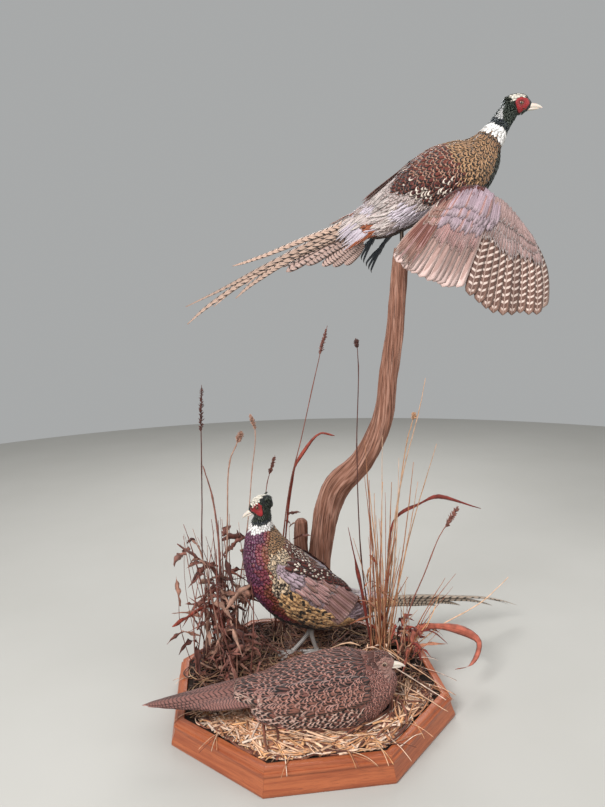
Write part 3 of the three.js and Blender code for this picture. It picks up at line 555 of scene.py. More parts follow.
def voxelSkin(shapes):
    # a bird's parts as one closed skin, with no seams
    mesh = meshFrom("flesh", joinShapes([dict(s, data={}) for s in shapes]))
    flesh = bpy.data.objects.new("flesh", mesh)
    bpy.context.collection.objects.link(flesh)
    remesh = flesh.modifiers.new("remesh", "REMESH")
    remesh.mode = "VOXEL"
    remesh.voxel_size = 2.6
    smooth = flesh.modifiers.new("smooth", "SMOOTH")
    smooth.factor = 0.6
    smooth.iterations = 3
    graph = bpy.context.evaluated_depsgraph_get()
    result = bpy.data.meshes.new_from_object(flesh.evaluated_get(graph))
    bpy.data.objects.remove(flesh)
    count = len(result.vertices)
    verts = np.zeros(count * 3, np.float32)
    result.vertices.foreach_get("co", verts)
    verts = verts.reshape(-1, 3).astype(float)
    faces = [tuple(p.vertices) for p in result.polygons]
    quads = np.array([f for f in faces if len(f) == 4], int).reshape(-1, 4)
    tris = np.array([f for f in faces if len(f) == 3], int).reshape(-1, 3)
    bpy.data.meshes.remove(result)
    tree = BVHTree.FromPolygons([Vector(v) for v in verts], faces)
    return {"verts": verts, "quads": quads, "tris": tris, "data": {}}, tree


class Bird:
    def __init__(self, name, place, head, headSize, axis, skin, tree):
        self.name, self.place, self.skin, self.tree = name, place, skin, tree
        self.head, self.headInverse, self.headSize = head, np.linalg.inv(head), headSize
        self.axis = np.array([curvePoint(np.array(axis, float), t) for t in np.linspace(0, 1, 90)])
        self.arc = arcOf(self.axis)
        self.ahead = tangentsOf(self.axis)
        # back points out of the back all along; left is back x ahead
        self.back = np.zeros_like(self.axis)
        back = unit(np.array([0, 0, 1.0]) - self.ahead * self.ahead[:, 2:3])[0]
        for i, t in enumerate(self.ahead):
            back = back - t * np.dot(back, t)
            back = back / np.linalg.norm(back)
            self.back[i] = back
        self.left = np.cross(self.back, self.ahead)

    def arcAt(self, point):
        return float(self.arc[np.argmin(np.linalg.norm(self.axis - np.array(point, float), axis=1))])

    def around(self, s, theta):
        # place on the skin at an arc length and an angle from the back towards the left
        i = int(np.clip(np.searchsorted(self.arc, s), 1, len(self.arc) - 1))
        w = (s - self.arc[i - 1]) / (self.arc[i] - self.arc[i - 1])
        centre, back, left = (line[i - 1] * (1 - w) + line[i] * w
                              for line in (self.axis, self.back, self.left))
        out = Vector(back * math.cos(theta) + left * math.sin(theta)).normalized()
        hit, normal, _, distance = self.tree.ray_cast(Vector(centre), out)
        if hit is None:
            return None, None, 0.0
        # past a groove, such as the one between back and wing
        beyond = self.tree.ray_cast(hit + out * 0.5, out, 16)[0]
        if beyond is not None:
            last, lastNormal = self.tree.ray_cast(beyond + out * 0.5, out, 60)[:2]
            if last is not None:
                hit, normal, distance = last, lastNormal, (last - Vector(centre)).length
        if normal.dot(out) < 0:
            normal = -normal
        return np.array(hit), np.array(normal), distance

    def lie(self, point):
        # the way that feathers point: along the body towards the tail
        gap = np.sum((self.axis - point) ** 2, 1)
        weight = np.exp(-(gap - gap.min()) / (2 * 22.0 ** 2))
        return -(weight[:, None] * self.ahead).sum(0)

    def inHead(self, point):
        return (self.headInverse @ np.append(point, 1.0))[:3] / self.headSize

    def onMap(self, s, theta):
        # where an arc length and an angle lie on the map of the coat
        return 0.5 + theta / (2 * math.pi) * 0.98, 0.01 + 0.98 * s / self.arc[-1]

    def trace(self, root, normal, length, steps, rise, lie=None):
        # a centre line that follows the skin from the root, and leaves it where the skin ends
        point, up = Vector(root), Vector(normal)
        places, ups = [root], [normal]
        stride = length / (steps - 1)
        heading = None
        for _ in range(steps - 1):
            flow = Vector((lie or self.lie)(np.array(point)))
            flow = flow - up * flow.dot(up)
            if flow.length < 1e-6:
                flow = Vector((-1, 0, 0))
            flow.normalize()
            heading = flow if heading is None else (heading * 0.45 + flow * 0.55).normalized()
            target = point + heading * stride
            near, n, _, distance = self.tree.find_nearest(target)
            if near is not None and distance > stride and n.dot(up) < 0:
                n = up
            if near is not None and n.dot(up) > 0.45 and distance < stride * 0.9:
                point, up = near, (up * 0.4 + n * 0.6).normalized()
            else:
                point = target
            places.append(np.array(point))
            ups.append(np.array(up))
        v = np.linspace(0, 1, steps)[:, None]
        return np.array(places) + np.array(ups) * (rise[0] + (rise[1] - rise[0]) * v), np.array(ups)


def coatRoots(bird, spacing, choose, seed):
    # staggered rows of roots round the axis, thinned where the rows crowd
    rng = np.random.default_rng(seed)
    taken = {}
    roots = []
    s, row = 2.0, 0
    while s < bird.arc[-1] - 1:
        gap = spacing(s)
        probe = [bird.around(s, a)[2] for a in np.linspace(-math.pi, math.pi, 12, endpoint=False)]
        count = max(5, int(2 * math.pi * float(np.mean(probe)) / gap))
        for n in range(count):
            theta = 2 * math.pi * (n + 0.5 * (row % 2) + rng.uniform(-0.2, 0.2)) / count
            theta = (theta + math.pi) % (2 * math.pi) - math.pi
            at = s + rng.uniform(-0.22, 0.22) * gap
            place, normal, _ = bird.around(at, theta)
            if place is None:
                continue
            x, y, z = np.floor(place / 12).astype(int)
            near = [q for i in (-1, 0, 1) for j in (-1, 0, 1) for k in (-1, 0, 1)
                    for q in taken.get((x + i, y + j, z + k), ())]
            if near and min(np.sum((q - place) ** 2) for q in near) < (0.62 * gap) ** 2:
                continue
            picked = choose(place, at, theta)
            if picked is None:
                continue
            taken.setdefault((x, y, z), []).append(place)
            roots.append((place, normal, gap, picked, bird.onMap(at, theta)))
        s += gap * 0.86
        row += 1
    return roots


def coatShape(bird, roots, seed):
    # contour feathers on their roots; each choice may stretch, widen or lift its feather
    rng = np.random.default_rng(seed)
    steps = len(contourOutline)
    low, high = contour["rise"]
    rows = []
    for place, normal, gap, (kind, stretch, broad, lift), uv in roots:
        length = gap * contour["long"] * stretch * rng.uniform(0.9, 1.12)
        line, up = bird.trace(place, normal, length, steps, (low, high * lift * rng.uniform(0.85, 1.2)))
        swing = rng.normal(0, contour["rough"])
        side = np.cross(unit(line[-1] - line[0]), up[0])
        line = line + side * (np.linspace(0, 1, steps)[:, None] ** 1.5) * swing * length
        rows.append((line, up, gap * contour["wide"] * broad * contourOutline, kind, uv))
    return featherShape(rows, seed)


def skinShape(bird, choose):
    # the skin takes the main colour of the feathers that grow on it
    verts = bird.skin["verts"]
    tint = np.zeros((len(verts), 4))
    uv = np.zeros((len(verts), 2))
    bare = "henFace" if bird.name == "hen" else "belly"
    for i, p in enumerate(verts):
        k = int(np.argmin(np.sum((bird.axis - p) ** 2, 1)))
        off = p - bird.axis[k]
        theta = math.atan2(float(off @ bird.left[k]), float(off @ bird.back[k]))
        picked = choose(p, float(bird.arc[k]), theta)
        row = kindColours[kindNames.index(picked[0] if picked else bare)]
        tint[i] = row[0] * 0.75 + row[1] * 0.25
        uv[i] = bird.onMap(bird.arc[k], theta)
    return dict(bird.skin, data={"tint": tint, "OFBake": uv})


def skinMaterial():
    # tanned skin under down: matt, in the colour of the plumage over it
    material, tree = newMaterial("tannedSkin", {"Roughness": 0.8, "Sheen Weight": 0.2})
    place = addNode(tree, "TexCoord", out=3)
    tint = addNode(tree, "Attribute", {"attribute_name": "tint"})
    down = addNode(tree, "TexNoise", inputs={"Vector": place, "Scale": 700.0, "Detail": 4.0})
    shade = addNode(tree, "MapRange", inputs={0: down, 1: 0.3, 2: 0.7, 3: 0.55, 4: 0.95})
    colour = addNode(tree, "VectorMath", {"operation": "SCALE"}, {0: tint, "Scale": shade})
    return dressed(material, colour, down, 0.5, 0.0006)


tannedSkin = skinMaterial()
print("plumage finishes ready")


# Heads

headNumbers = {
    "skull": [[-33, 0, 1, 3, 3], [-29, 0, 1, 12, 14], [-19, 0, 1, 16, 20], [-5, 0, 1, 17.5, 22.5],
              [6, 0, 1, 16.5, 22], [16, 0, -0.5, 13.5, 18], [24, 0, -2.5, 9, 12.5], [29, 0, -4, 6, 8]],
    "billUpper": [[20, 0, -1.5, 6, 6.2], [30, 0, -1.6, 5.6, 5.6], [38, 0, -1.8, 4.6, 4.6],
                  [46, 0, -3.2, 3, 3], [52, 0, -5.6, 1, 1.2]],
    "billLower": [[20, 0, -8.4, 5.2, 4], [30, 0, -7.8, 4.8, 3.2], [38, 0, -7.2, 3.8, 2.3],
                  [45, 0, -7, 2, 1.2]],
    "eye": (7, 12.4, 3),
    "eyeRadii": (4.9, 3.7),
    # reach of the bare red skin round the eye, every 30 degrees from the front upwards
    "wattle": [18, 16, 13.5, 12, 12.5, 13.5, 12.5, 11, 14, 24, 18, 15.5],
}


def eyeMaterials():
    # taxidermist's glass eye: polished clear dome over a painted iris
    out = []
    for name, iris, rim in (("glassEyeAmber", "#8A4A12", "#2A1206"), ("glassEyeBrown", "#5A3216", "#1C0E06")):
        material, tree = newMaterial(name, {"Roughness": 0.08, "IOR": 1.52, "Coat Weight": 1.0,
                                                    "Coat Roughness": 0.03})
        angle = addNode(tree, "Attribute", {"attribute_name": "iris"}, out=2)
        edge = addNode(tree, "MapRange", inputs={0: angle, 1: 0.16, 2: 0.18, 3: 0.0, 4: 1.0})
        colour = addNode(tree, "Mix", {"data_type": "RGBA"},
                         {0: edge, 6: linear("#020202"), 7: linear(iris)}, 2)
        edge = addNode(tree, "MapRange", inputs={0: angle, 1: 0.26, 2: 0.36, 3: 0.0, 4: 1.0})
        colour = addNode(tree, "Mix", {"data_type": "RGBA"}, {0: edge, 6: colour, 7: linear(rim)}, 2)
        out.append(dressed(material, colour))
    return out


def billMaterial():
    # keratin horn: waxy ivory, a little see-through, faintly streaked along its length
    material, tree = newMaterial("hornBill", {"Roughness": 0.38, "IOR": 1.54, "Subsurface Weight": 0.12,
                                                      "Subsurface Scale": 0.002, "Coat Weight": 0.15})
    grain = addNode(tree, "Attribute", {"attribute_name": "grain"}, out=1)
    stretched = addNode(tree, "VectorMath", {"operation": "MULTIPLY"}, {0: grain, 1: (0.12, 1.6, 1.6)})
    streak = addNode(tree, "TexNoise", inputs={"Vector": stretched, "Scale": 1.0, "Detail": 4.0})
    colour = addNode(tree, "Mix", {"data_type": "RGBA"},
                     {0: streak, 6: linear("#C4B6A6"), 7: linear("#E6DCD0")}, 2)
    return dressed(material, colour, streak, 0.4, 0.0002)


def wattleMaterial():
    # bare papillose skin, painted after drying: deep red, satin, pebbled; painted shade near the eye and edge
    material, tree = newMaterial("wattleSkin", {"Roughness": 0.5, "Subsurface Weight": 0.1,
                                                        "Subsurface Scale": 0.002, "Sheen Weight": 0.2})
    place = addNode(tree, "TexCoord", out=3)
    pebble = addNode(tree, "TexVoronoi", inputs={"Vector": place, "Scale": 1000 / 1.3})
    depth = addNode(tree, "Attribute", {"attribute_name": "depth"}, out=2)
    blotch = addNode(tree, "TexNoise", inputs={"Vector": place, "Scale": 260.0, "Detail": 2.0})
    colour = addNode(tree, "Mix", {"data_type": "RGBA"},
                     {0: blotch, 6: linear("#7E0A10"), 7: linear("#AC1218")}, 2)
    # painted shade: depth darkens the red in the hollow by the eye and under the feathers' edge
    colour = addNode(tree, "Mix", {"data_type": "RGBA"}, {0: depth, 6: colour, 7: linear("#4A060A")}, 2)
    return dressed(material, colour, pebble, 0.8, 0.0006)


glassEyeAmber, glassEyeBrown = eyeMaterials()
hornBill = billMaterial()
wattleSkin = wattleMaterial()


def lidMaterial(name, colour):
    # thin dry skin of the eyelid, finely pleated
    material, tree = newMaterial(name, {"Roughness": 0.6})
    place = addNode(tree, "TexCoord", out=3)
    pleat = addNode(tree, "TexNoise", inputs={"Vector": place, "Scale": 1500.0})
    shade = addNode(tree, "MapRange", inputs={0: pleat, 1: 0.3, 2: 0.7, 3: 0.7, 4: 1.1})
    tone = addNode(tree, "VectorMath", {"operation": "SCALE"}, {0: linear(colour)[:3], "Scale": shade})
    return dressed(material, tone, pleat, 0.6, 0.0002)


darkLid = lidMaterial("eyelidDark", "#3A0C0C")
paleLid = lidMaterial("eyelidPale", "#C9B39C")


def buildHead(prefix, bird, replaced, eyeGlass, lid, wattle):
    k = bird.headSize
    inWorld = bird.place @ bird.head
    for part in ("billUpper", "billLower"):
        stations = np.array(headNumbers[part], float) * k
        rings = ovalRings(stations, 22, 28)
        if part == "billUpper":
            # a nostril hollow on each side, and a cere that swells behind it
            x, y = rings[..., 0] / k, rings[..., 1]
            near = np.exp(-((x - 26) / 2.6) ** 2 - ((rings[..., 2] / k + 0.2) / 1.4) ** 2)
            rings[..., 1] -= np.sign(y) * near * 1.1
            rings[..., 2] += 0.5 * np.exp(-((x - 24) / 3) ** 2)
        name = prefix + part[0].upper() + part[1:]
        buildPiece(name, ringShape(rings, {"grain": rings / k}), hornBill,
                   replaced.get(part, ()), inWorld)
    cx, cy, cz = (v * k for v in headNumbers["eye"])
    cy += 0 if wattle else 1.4  # without the swollen wattle the eye stands out further
    wide, deep = (v * k for v in headNumbers["eyeRadii"])
    turnAngles = roundAngles(32)
    for sideName, side in (("Left", 1), ("Right", -1)):
        polar = np.linspace(0.03, math.pi - 0.03, 22)
        rings = np.stack([np.stack([cx + wide * math.sin(a) * np.cos(turnAngles),
                                    np.full(32, side * (cy + deep * math.cos(a))),
                                    cz + wide * math.sin(a) * np.sin(turnAngles)], -1) for a in polar])
        shape = ringShape(rings, {"iris": (polar / math.pi)[:, None]})
        buildPiece(prefix + "Eye" + sideName, shape, eyeGlass,
                   replaced.get("eye" + sideName, ()), inWorld)
        # lid: a soft ring a little thicker above
        small = roundAngles(10)
        rings = []
        for a in np.append(turnAngles, 2 * math.pi):
            centre = np.array([cx + wide * 0.86 * math.cos(a), side * (cy + deep * 0.42),
                               cz + wide * 0.8 * math.sin(a)])
            out = np.array([math.cos(a), 0, math.sin(a)])
            size = (0.75 + 0.25 * math.sin(a)) * k
            rings.append([centre + out * size * math.cos(b) + np.array([0, side, 0]) * size * math.sin(b)
                          for b in small])
        buildPiece(prefix + "Lid" + sideName, ringShape(np.array(rings)), lid, (), inWorld)
        if not wattle:
            continue
        reach = wattleReach(np.linspace(0, 360, 73)[:-1]) * k
        reach = np.convolve(np.tile(reach, 3), np.ones(5) / 5, "same")[72:144]
        phi = roundAngles(72)
        shares = np.linspace(0, 1, 16)
        rings, depth = [], []
        turn = np.linalg.inv(bird.head)
        for layer, order in ((1, shares), (0, shares[::-1])):
            for share in order:
                ring, paintedShade = [], []
                for a, far in zip(phi, reach):
                    r = wide * 0.82 + (far - wide * 0.82) * share
                    x, z = cx + r * math.cos(a), cz + r * math.sin(a)
                    start = Vector(moved(np.array([x, side * 60 * k, z]), bird.head))
                    ahead = Vector(bird.head[:3, :3] @ np.array([0, -side, 0]))
                    hit = bird.tree.ray_cast(start, ahead)[0]
                    if hit is None:
                        inside = moved(np.array([x, side * 8 * k, z]), bird.head)
                        hit = bird.tree.find_nearest(Vector(inside))[0]
                    local = moved(np.array(hit), turn)
                    pimple = 0.5 * math.sin(2.3 * x + 1.1 * z) * math.sin(2.1 * z - 0.6 * x)
                    dome = (1 - share ** 5) * (1.9 + pimple) * min(1, 0.1 + 2.2 * share) + 0.4
                    local[1] = side * (abs(local[1]) + (dome * k if layer else -0.8 * k))
                    ring.append(local)
                    # painted shade: dark in the hollow by the eye and where the feathers overlap the edge
                    paintedShade.append([max(0.0, 0.75 - 1.4 * share) + (0.5 if share > 0.93 else 0)])
                rings.append(ring)
                depth.append(paintedShade)
        shape = ringShape(np.array(rings), {"depth": np.array(depth)})
        buildPiece(prefix + "Wattle" + sideName, shape, wattleSkin, (), inWorld)


def wattleReach(degrees):
    reach = headNumbers["wattle"]
    return np.interp(degrees, np.arange(13) * 30, reach + reach[:1])


def inWattle(q):
    # the coat's feathers reach a little over the edge of the bare skin
    dx, dz = q[0] - headNumbers["eye"][0], q[2] - headNumbers["eye"][2]
    reach = wattleReach(math.degrees(math.atan2(dz, dx)) % 360)
    return abs(q[1]) >= 4 and math.hypot(dx, dz) < reach * 0.93


def cockHeadKind(q, crown, browEnd):
    # crown is the kind along the top, browEnd how far down the pale brow reaches, in degrees
    if q[0] > 21 or inWattle(q):
        return None
    top = math.degrees(math.atan2(abs(q[1]), q[2]))
    if -25 < q[0] < 18 and top < 9:
        return (crown, 1, 1, 0.8)
    if -15 < q[0] < 18 and 9 <= top < browEnd:
        return ("brow", 1.0 if browEnd < 40 else 1.2, 1.35, 0.9)
    return ("black", 1, 1, 1)


def skullShape(headSize, head):
    # the head without its plumage, which is 1.3 mm deep
    skull = ringShape(ovalRings(np.array(headNumbers["skull"], float) * headSize, 22, 28, 1.3))
    return dict(skull, verts=moved(skull["verts"], head))


def earTufts(bird):
    # the pair of pointed black tufts behind the eyes
    rng = np.random.default_rng(5)
    k = bird.headSize
    v = np.linspace(0, 1, 5)[:, None]
    rows = []
    for side in (1, -1):
        up = bird.head[:3, :3] @ unit(np.array([0.2, side, 0.5]))
        for _ in range(9):
            start = np.array([-13 - rng.uniform(0, 4), side * (15.5 + rng.uniform(-1, 1)),
                              9.5 + rng.uniform(-1.5, 2)]) * k
            way = unit(np.array([-1, side * 0.28, 0.42 + rng.uniform(-0.12, 0.12)]))
            line = start + way * v * 15 * k * rng.uniform(0.8, 1.1) - np.array([0, 0, 1.6 * k]) * v ** 2
            rows.append((moved(line, bird.head), up, 2.2 * k * np.array([0.6, 1, 0.85, 0.5, 0.08]), "black",
                         (0.5 + side * 0.2, 0.93)))
    return featherShape(rows, 3)


# Flying cock

flying = {
    "place": {"at": (311, 92, 1062), "yaw": -2, "pitch": 28, "bank": 49},
    "headPlace": {"at": (476, 94, 1204), "yaw": -22, "pitch": -6, "bank": 10},
    "headLength": 58,
    "trunk": [[-200, 0, -4, 36, 20], [-180, 0, -7, 40, 30], [-156, 0, -14, 44, 41], [-130, 0, -17, 46, 51],
              [-82, 0, -13, 52, 57], [-37, 0, -4, 61, 61], [1, 0, -1, 64, 63], [41, -3, -10, 61, 64],
              [62, -4, -16, 61, 66], [95, 2, -8, 48, 53], [118, 7, 4, 34, 37], [133, 11, 8, 12, 14]],
    "neck": [[92, 4, 0, 30], [118, 9, 6, 31], [140, 17, 11, 27], [155, 24, 15, 22], [173, 33, 20, 21.5],
             [190, 39, 23, 20.5], [204, 40, 24, 15]],
    "ring": ((137, 16, 11), (156, 24.5, 15.3)),  # lower and upper edge of the white ring, on the neck's axis
}


def makeBird(name, numbers, axis, wings=(), thighs=()):
    # the skin lies under the outside of the plumage, by the depth of the coat at each part
    place = turned(numbers["place"])
    head = numbers["head"]
    size = numbers["headLength"] / 62
    ovals = [(numbers["trunk"], 4.0)] + [(stations, 3.0) for stations in wings]
    tubes = [(numbers["neck"], 3.0)] + [(stations, 2.0) for stations in thighs]
    parts = [ringShape(ovalRings(stations, 40, 40, inset)) for stations, inset in ovals]
    parts += [ringShape(tubeRings(stations, 20, 28, inset)) for stations, inset in tubes]
    skin, tree = voxelSkin(parts + [skullShape(size, head)])
    ends = [tuple(moved(np.array(p) * size, head)) for p in ((0, 0, 1.0), (22, 0, -3.0))]
    return Bird(name, place, head, size, list(axis) + ends, skin, tree)


def dressCock(name, bird, roots, choose, seed, replaced, headReplaced):
    # skin, coat, ear tufts and head of a cock; the glossy feathers have a finish of their own
    plain, shiny = (coatShape(bird, [r for r in roots if (r[3][0] in glossKinds) == gloss], seed + number)
                    for number, gloss in enumerate((False, True)))
    for part, shape, material, solids in (("Skin", skinShape(bird, choose), tannedSkin, replaced),
                                          ("Coat", plain, contourMaterial, ()),
                                          ("GlossCoat", shiny, glossMaterial, ()),
                                          ("EarTufts", earTufts(bird), glossMaterial, ())):
        buildPiece(name + part, shape, material, solids, bird.place)
    buildHead(name, bird, headReplaced, glassEyeAmber, darkLid, True)
    print(name, "cock:", len(roots), "feathers")


def buildFlyingBody():
    numbers = flying
    numbers["head"] = np.linalg.inv(turned(numbers["place"])) @ turned(numbers["headPlace"])
    axis = [s[:3] for s in numbers["trunk"][:10]] + [s[:3] for s in numbers["neck"][1:6]]
    bird = makeBird("flying", numbers, axis)
    ringLow, ringTop = (bird.arcAt(p) for p in numbers["ring"])
    headStart = bird.arcAt(moved(np.array([-20, 0, 0]) * bird.headSize, bird.head))

    def choose(place, s, theta):
        q = bird.inHead(place)
        a = abs(math.degrees(theta))
        x = place[0]
        if s > headStart or (q[0] > -24 and abs(q[2]) < 20):
            return cockHeadKind(q, "crown", 55)
        if s > ringTop:
            if a < 24 and s > ringTop + 14:
                return ("nape", 1, 1, 1)
            return ("violet" if s < ringTop + 14 or a > 120 else "black", 1, 1, 1)
        if s > ringLow:
            return ("ring", 1.25, 1.4, 1.0)
        dark = np.interp(x, [30, 60, 110, 130], [112, 101, 82, 84])
        wave = float(noiseAt(place[None], 11, 34)[0])
        if x > 20 and a > dark + 4 * wave:
            return (("breastDark" if a < 135 else "breast") if s < ringLow - 8 else "collar", 1.1, 1.3, 1)
        if s > ringLow - 9:
            return ("collar", 1, 1, 1)
        border = np.interp(a, [0, 45, 80, 100, 120], [-90, -54, -36, 26, 40])
        if x > border:
            if x > 44 + 8 * wave or (x > 30 and a > 70):
                return ("mantle", 1.35, 1.3, 1.1)
            if x > border + (78 if a > 52 else 46) + 8 * wave:
                return ("mantleLow", 1.4, 1.3, 1.1)
            return ("scapularSpot" if (0.37 * x + 0.61 * a) % 1 > 0.56 else "scapular", 1.4, 1.25, 1.3)
        if a > 128:
            return ("vent" if x < -60 else "belly", 1.2, 1.1, 1)
        if a > 106:
            return ("flankPlain" if x > -60 else "vent", 1.3, 1, 1)
        if x < -158 and 55 < a < 106:
            return ("rust", 1.9, 0.8, 1)
        if x > border - 22:
            return ("rumpSpeckled", 1.5, 0.8, 1)
        mix = wave + (a - 50) / 60
        kind = "rump" if mix > 0.1 else ("rumpGreen" if mix < -0.35 else "rumpSpeckled")
        return (kind, 2.5 if x < -150 else 1.8, 0.62, 1)

    def spacing(s):
        return np.interp(s, [0, ringLow - 40, ringLow, ringTop, headStart, headStart + 30],
                         [7.8, 8.4, 6.4, 4.8, 3.6, 2.9])

    roots = coatRoots(bird, spacing, choose, 21)
    dressCock("flying", bird, roots, choose, 31, ("flying_trunk", "flying_neck", "flying_head"),
              {"billUpper": ("flying_bill_upper",), "billLower": ("flying_bill_lower",),
               "eyeLeft": ("flying_eye_left",), "eyeRight": ("flying_eye_right",)})
    return bird


flyingBird = buildFlyingBody()


# Flying cock's wings

wing = {
    "shoulder": (0, 45, 25),
    "droop": {"Right": 35, "Left": 62},
    "chord": {"Right": 1.0, "Left": 0.82},
    "arch": 8,
    "archSpan": 150,
    "cup": 0.00028,
    "armFront": [[-38, 26, 0], [4, 30, 0], [32, 46, 0], [48, 73, 0]],
    "armTips": [[-184, 66, 0], [-170, 105, 0], [-162, 121, 0], [-138, 149, 0], [-124, 167, 0],
                [-109, 181, 0], [-77, 198, 0]],
    "handFront": [[48, 75, 0], [63, 102, 0], [78, 144, 0], [88, 180, 0]],
    "handTips": [[-79, 206, 0], [-62, 243, 0], [-49, 270, 0], [-23, 292, 0], [5, 302, 0], [30, 321, 0],
                 [60, 311, 0]],
    "bow": 14,
    "primaries": 10,
    "secondaries": 11,
}


def wingPoint(side, name, along, s, up):
    # along is 0 to 1 on the arm and 1 to 2 on the hand; s runs from the front edge to the tips
    part = "arm" if along < 1 else "hand"
    t = along if along < 1 else along - 1
    start = curvePoint(np.array(wing[part + "Front"], float), t)
    end = curvePoint(np.array(wing[part + "Tips"], float), t)
    arch = (wing["bow"] * t * t * np.sin(math.pi * s)) if part == "hand" else 0 * s
    forward = start[0] + (end[0] - start[0]) * s + arch
    span = start[1] + (end[1] - start[1]) * s + arch * 0.3
    tilt = math.radians(wing["droop"][name])
    lift = wing["arch"] * np.sin(np.minimum(1, span / wing["archSpan"]) * math.pi)
    cup = up + lift - wing["cup"] * (span ** 2 + 0.4 * forward ** 2)
    sx, sy, sz = wing["shoulder"]
    return np.stack([sx + forward * wing["chord"][name],
                     side * (sy + span * math.cos(tilt) + cup * math.sin(tilt)),
                     sz - span * math.sin(tilt) + cup * math.cos(tilt)], -1)


def wingThickness(along, s):
    front, tip = (16, 1.4) if along < 1 else (11, 1.2)
    return (front + (tip - front) * np.sqrt(np.clip(s, 0, 1))) / 2


def wingFeathers(side, name, rows, steps, sides, seed, below=False, long=False, tilt=0.07):
    # rows of: along, first s, last s, half width, height over the sheet, kind
    angle = math.radians(wing["droop"][name])
    upward = np.array([0, side * math.sin(angle), math.cos(angle)]) * (-1 if below else 1)
    made, leads = [], []
    for along, s0, s1, half, height, kind in rows:
        s = np.linspace(s0, s1, steps)
        up = wingThickness(along, s) * (0.8 if long else 1.0) + height
        up = -up if below else up
        line, beside = (wingPoint(side, name, a, s, up) for a in (along, min(along + 0.02, 1.999)))
        across = np.cross(tangentsOf(line), upward)
        leads.append(1.0 if np.sum((beside - line) * across) > 0 else -1.0)
        made.append((line, upward, half, kind, (0.05 + along * 0.45, 0.05 + 0.9 * s0)))
    lead = np.array(leads)
    return featherShape(made, seed, sides=sides, long=long, lead=lead, tilt=(lead * tilt)[:, None, None],
                        camber=0.1, thick=0.4 if long else 0.3)


def buildWing(name, side):
    rng = np.random.default_rng(40 + side)
    steps = 26
    flight = []
    count = wing["primaries"]
    for i in range(count):
        along = 1 + (2 * i + 1) / (2 * count)
        wide = 13.5 - 2.5 * i / count
        kind = "primaryFirst" if i == count - 1 else "primary"
        flight.append((along, 0.0, 1.0, bladeHalves(steps, wide, 0.42, 0.9, 0.5), -0.12 * i, kind))
    count = wing["secondaries"]
    for i in range(count):
        along = 0.04 + 0.93 * (i + 0.5) / count
        flight.append((along, 0.05, 0.985 + rng.uniform(-0.015, 0.01),
                       bladeHalves(steps, 14.5, 0.6, 0.93, 0.4),
                       1.6 - 0.13 * i, "secondary"))
    shape = wingFeathers(side, name, flight, steps, 8, 50 + side, long=True)
    buildPiece("flyingWing" + name + "Flight", shape, quillMaterial,
               (f"flying_wing_{name.lower()}_arm", f"flying_wing_{name.lower()}_hand"), flyingBird.place)

    rows = []

    def addRow(start, stop, count, s0, s1, half, height, kindAt, ragged=0.02):
        for i in range(count):
            along = start + (stop - start) * (i + 0.5 + rng.uniform(-0.15, 0.15)) / count
            shift = rng.uniform(-ragged, ragged)
            rows.append((along, s0 + shift, s1 + shift, half * contourOutline, height, kindAt(along)))

    innerKinds = ["tertial", "covertStreak", "tertial", "covertBrown"]

    def innerOr(kind):
        return lambda along: innerKinds[int(rng.integers(4))] if along < 0.2 else (
            "covertStreak" if rng.uniform() < (0.6 if along < 0.42 else 0.18) else kind)

    def marginal(reach):
        # shoulder feathers lie over the inner part of the front edge
        def kindAt(along):
            if along < reach + rng.uniform(-0.05, 0.05):
                return "scapularSpot" if rng.uniform() < 0.45 else "scapular"
            return "covert" if along < 1.05 + rng.uniform(-0.1, 0.1) else "covertPale"
        return kindAt

    def pale(along):
        return "covertPale"

    # tertials lie over the inner end, then rows of coverts from the longest to the shortest
    addRow(0.0, 0.26, 14, 0.1, 0.92, 6, 3.0,
           lambda along: "tertial" if rng.uniform() < 0.6 else "covertStreak", 0.07)
    addRow(1.0, 1.97, 22, 0.02, 0.4, 4.6, 1.5, pale, 0.05)
    addRow(0.05, 0.98, 26, 0.14, 0.6, 6, 2.6, innerOr("covertStreak"), 0.05)
    addRow(1.0, 1.97, 26, 0.0, 0.26, 4, 2.2, pale, 0.03)
    addRow(0.03, 1.0, 26, 0.08, 0.42, 6.4, 3.4, innerOr("covert"), 0.04)
    addRow(0.02, 1.12, 24, 0.04, 0.31, 7, 4.0, innerOr("covert"))
    addRow(0.02, 1.2, 26, 0.0, 0.22, 6, 4.5, innerOr("covert"))
    addRow(0.0, 1.98, 52, -0.03, 0.14, 5, 4.4, marginal(0.4))
    addRow(0.0, 1.98, 64, -0.05, 0.09, 4.2, 4.4, marginal(0.78), 0.01)
    coverts = wingFeathers(side, name, rows, 5, 4, 60 + side, tilt=0.04)
    rows = []
    addRow(0.02, 0.98, 17, 0.1, 0.5, 9, 0.4, pale)
    addRow(0.02, 1.98, 34, 0.02, 0.33, 7.5, 0.8, pale)
    addRow(0.02, 1.98, 46, -0.03, 0.2, 6, 1.2, pale)
    lining = wingFeathers(side, name, rows, 5, 4, 70 + side, below=True, tilt=0.0)
    shape = joinShapes([coverts, lining])
    buildPiece("flyingWing" + name + "Coverts", shape, contourMaterial, (), flyingBird.place)
    # the limb inside: skin over bone, from the front edge to the feathers' roots
    rings = []
    s = np.concatenate([np.linspace(0.0, 0.34, 12), np.linspace(0.34, 0.0, 12)])
    for along in np.linspace(0.0, 1.97, 40):
        up = wingThickness(along, s) * np.sqrt(np.clip(1 - (s / 0.345) ** 2, 0, 1))
        up *= np.where(np.arange(24) < 12, 1, -1)
        up *= 0.9 * min(1.0, 0.3 + 4 * (1.97 - along))
        rings.append(wingPoint(side, name, along, s + 0.015, up))
    rings = np.array(rings)
    tint = np.tile(np.array(linear("#9A9098")), (40, 1))
    buildPiece("flyingWing" + name + "Arm", ringShape(rings, {"tint": tint}), tannedSkin, (),
               flyingBird.place)


buildWing("Right", -1)
buildWing("Left", 1)
print("wings ready")


# Flying cock's tail, legs and pin

